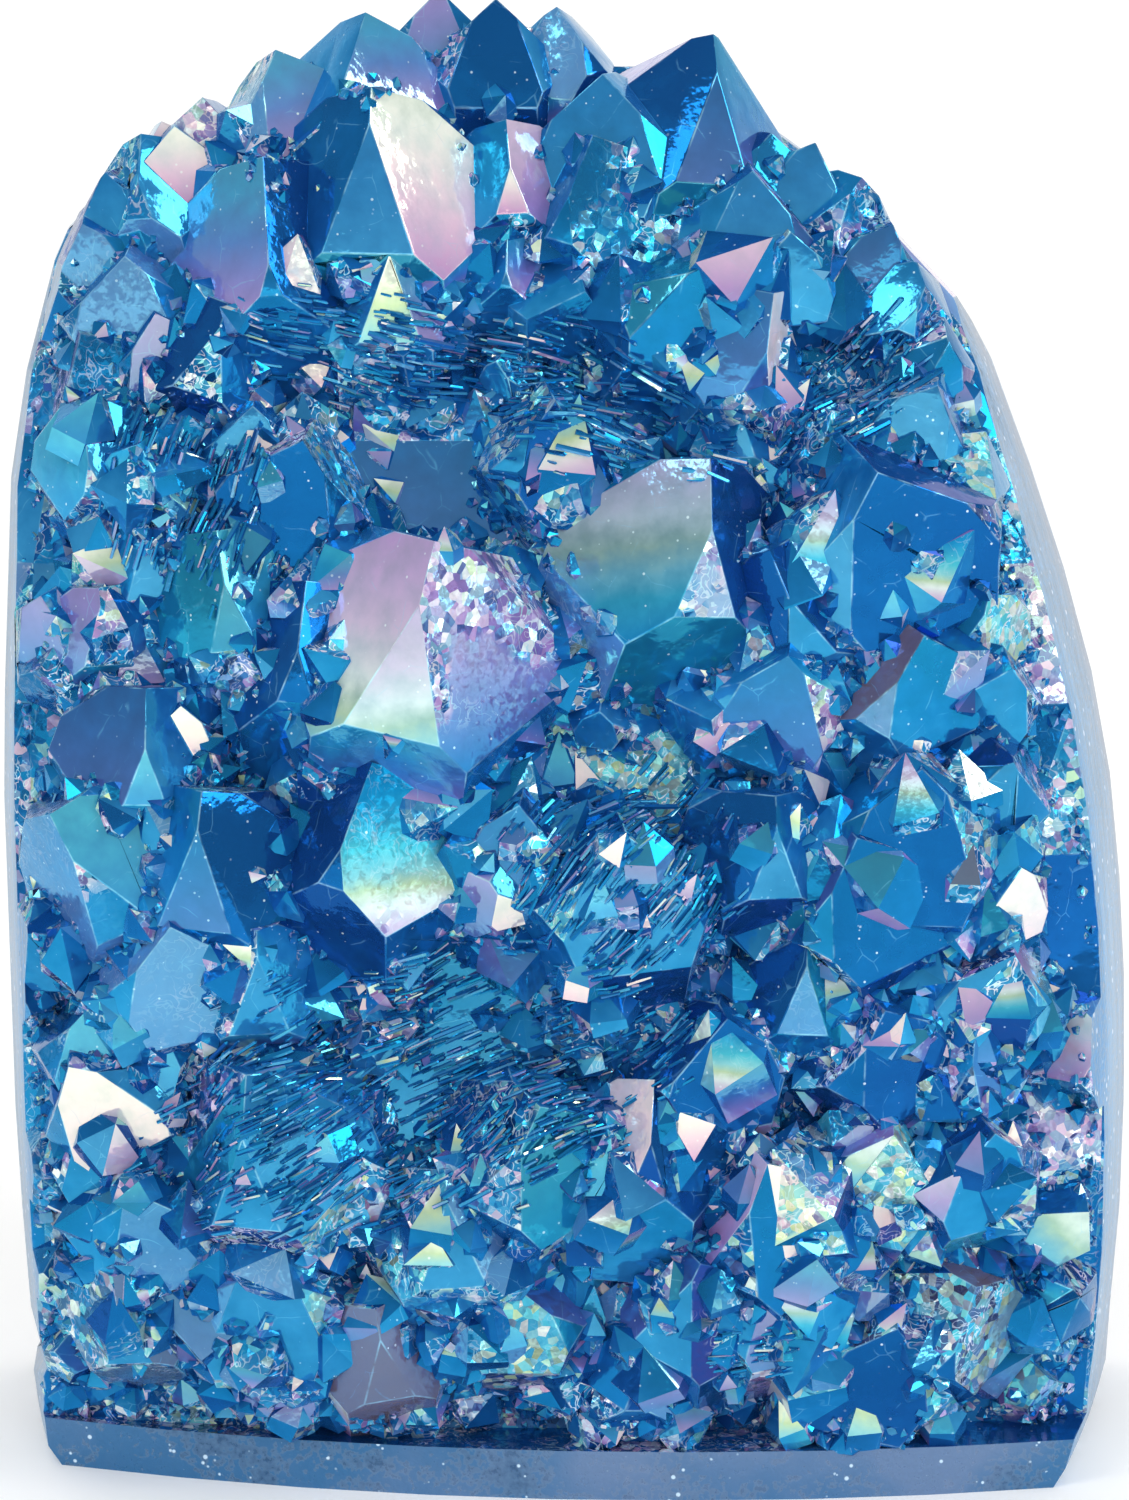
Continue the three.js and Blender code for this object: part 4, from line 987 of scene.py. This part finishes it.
surface = BVHTree.FromPolygons(
    read(stone_mesh.vertices, "co", 3).tolist(), [list(face.vertices) for face in stone_mesh.polygons]
)
backwards = Vector((0.0, 1.0, 0.0))
hits = [surface.ray_cast(Vector((x * MM, -0.1, z * MM)), backwards)[0] for x, z, *_ in ACCENTS]
placed = np.array([list(hit) for hit in hits]) / MM
halves = np.array([row[2] for row in ACCENTS])
placed[:, 2] = np.maximum(placed[:, 2], LIP_HEIGHT / MM + LIP_GAP * halves)
turn = np.radians([row[3] for row in ACCENTS])
rng = np.random.default_rng(41)
looks = unit(FRONT + TILT * rng.normal(size=placed.shape))
tipward = np.stack([np.cos(turn), np.zeros_like(turn), np.sin(turn)], 1)
tipward = unit(tipward - looks * (tipward * looks).sum(1)[:, None])
axes = math.cos(POINT_SLOPE) * looks + math.sin(POINT_SLOPE) * tipward
middle = placed + looks * (PROUD * halves)[:, None]
tips = middle + tipward * (TIP_REACH * halves)[:, None]
prismward = unit(looks - axes * (looks * axes).sum(1)[:, None])
across = rotated(prismward, axes, np.full(len(axes), -math.pi / FACES))
rise = np.zeros(len(tips))
accent_mesh = crystals_mesh(
    "lit_points", tips, axes, across, halves, rise, ROOT * halves, ACCENT_UNEVEN, rng
)
faces = len(accent_mesh.polygons)
bright = slice(None, None, 2 * FACES + 1)  # the first face of each crystal
lights = by_chance(faces, 0.15, 0.3, rng)
for field, column in zip(LIGHT_FIELDS, np.array([LIGHTS[row[4]] for row in ACCENTS]).T):
    lights[field][bright] = column
lights["turn"][bright] *= STEADY
coat(accent_mesh, np.arange(faces), lights)
piece(accent_mesh, [aura_quartz])

# ---- Floor, light and camera ------------------------------------------------------------------
# A sheet of white paper lies under the cluster and curves up behind it, in a pale room. Broad soft
# boxes light the stone but don't show in its facets, and two small lamps give them their sparkle.

SWEEP = {"front": -1.6, "bend": 0.5, "radius": 0.35, "top": 1.6, "half": 2.2}


def sweep_mesh():
    """A flat sheet, a quarter turn of the radius, and a wall: a profile carried sideways."""
    turn = np.linspace(0, math.pi / 2, 24)
    y = np.concatenate([[SWEEP["front"]], SWEEP["bend"] + SWEEP["radius"] * np.sin(turn)])
    z = np.concatenate([[0.0], SWEEP["radius"] * (1 - np.cos(turn))])
    y, z = np.append(y, y[-1]), np.append(z, SWEEP["top"])
    line = np.stack([np.zeros_like(y), y, z], 1)
    half = np.array([SWEEP["half"], 0, 0])
    co = np.concatenate([line - half, line + half])
    i = np.arange(len(line) - 1)
    quads = np.stack([i, i + len(line), i + len(line) + 1, i + 1], 1)
    return mesh_from("paper_sweep", co, quads.ravel(), np.full(len(quads), 4), smooth=True)


paper, tree, shader = finish("paper", Roughness=0.9, Base_Color=linear("#fafafa"))
floor = bpy.data.objects.new("floor", sweep_mesh())
floor.data.materials.append(paper)
bpy.context.collection.objects.link(floor)

world = bpy.data.worlds.new("studio")
bpy.context.scene.world = world
world.use_nodes = True
background = world.node_tree.nodes["Background"]
background.inputs["Color"].default_value = linear("#f4f2ee")
background.inputs["Strength"].default_value = 0.46

MIDDLE = (0, 0, 0.045)  # of the stone
PAPER = (0, 0.8, 0.25)  # a place on the sheet behind it


def aimed(made, place, ahead):
    """Puts a lamp or the camera at its place, looking ahead and level, and in the scene."""
    made.location = place
    made.rotation_euler = Vector(ahead).to_track_quat("-Z", "Y").to_euler()
    bpy.context.collection.objects.link(made)


def soft_box(name, place, aim, size, power, mirrored=True):
    """A rectangle of light, in metres and watts. Facets mirror it only where mirrored is true."""
    light = bpy.data.lights.new(name, "AREA")
    light.shape = "RECTANGLE"
    light.size, light.size_y = size
    light.energy = power
    made = bpy.data.objects.new(name, light)
    made.visible_glossy = mirrored
    aimed(made, place, Vector(aim) - Vector(place))


soft_box("key", (-0.42, -0.38, 0.42), MIDDLE, (0.4, 0.4), 1.25, mirrored=False)
soft_box("lamp", (-0.36, -0.32, 0.42), MIDDLE, (0.14, 0.14), 0.3)
soft_box("side", (0.4, -0.25, 0.3), MIDDLE, (0.2, 0.3), 1.2)
soft_box("fill", (0.05, -0.7, 0.2), MIDDLE, (0.7, 0.5), 3.2, mirrored=False)
soft_box("behind", (0, 0.2, 0.9), PAPER, (1.2, 0.3), 4.5, mirrored=False)

AIM = Vector((-0.0003, -0.010, 0.0449))  # the place in the middle of the picture
DISTANCE = 0.2425  # of the camera from it
ELEVATION = math.radians(10)  # of the camera above it
camera_data = bpy.data.cameras.new("camera")
camera_data.lens = 100
camera_data.sensor_width = 36
camera = bpy.data.objects.new("camera", camera_data)
back = Vector((0, -math.cos(ELEVATION), math.sin(ELEVATION)))
aimed(camera, AIM + back * DISTANCE, -back)
bpy.context.scene.camera = camera
bpy.context.scene.view_settings.view_transform = "Standard"
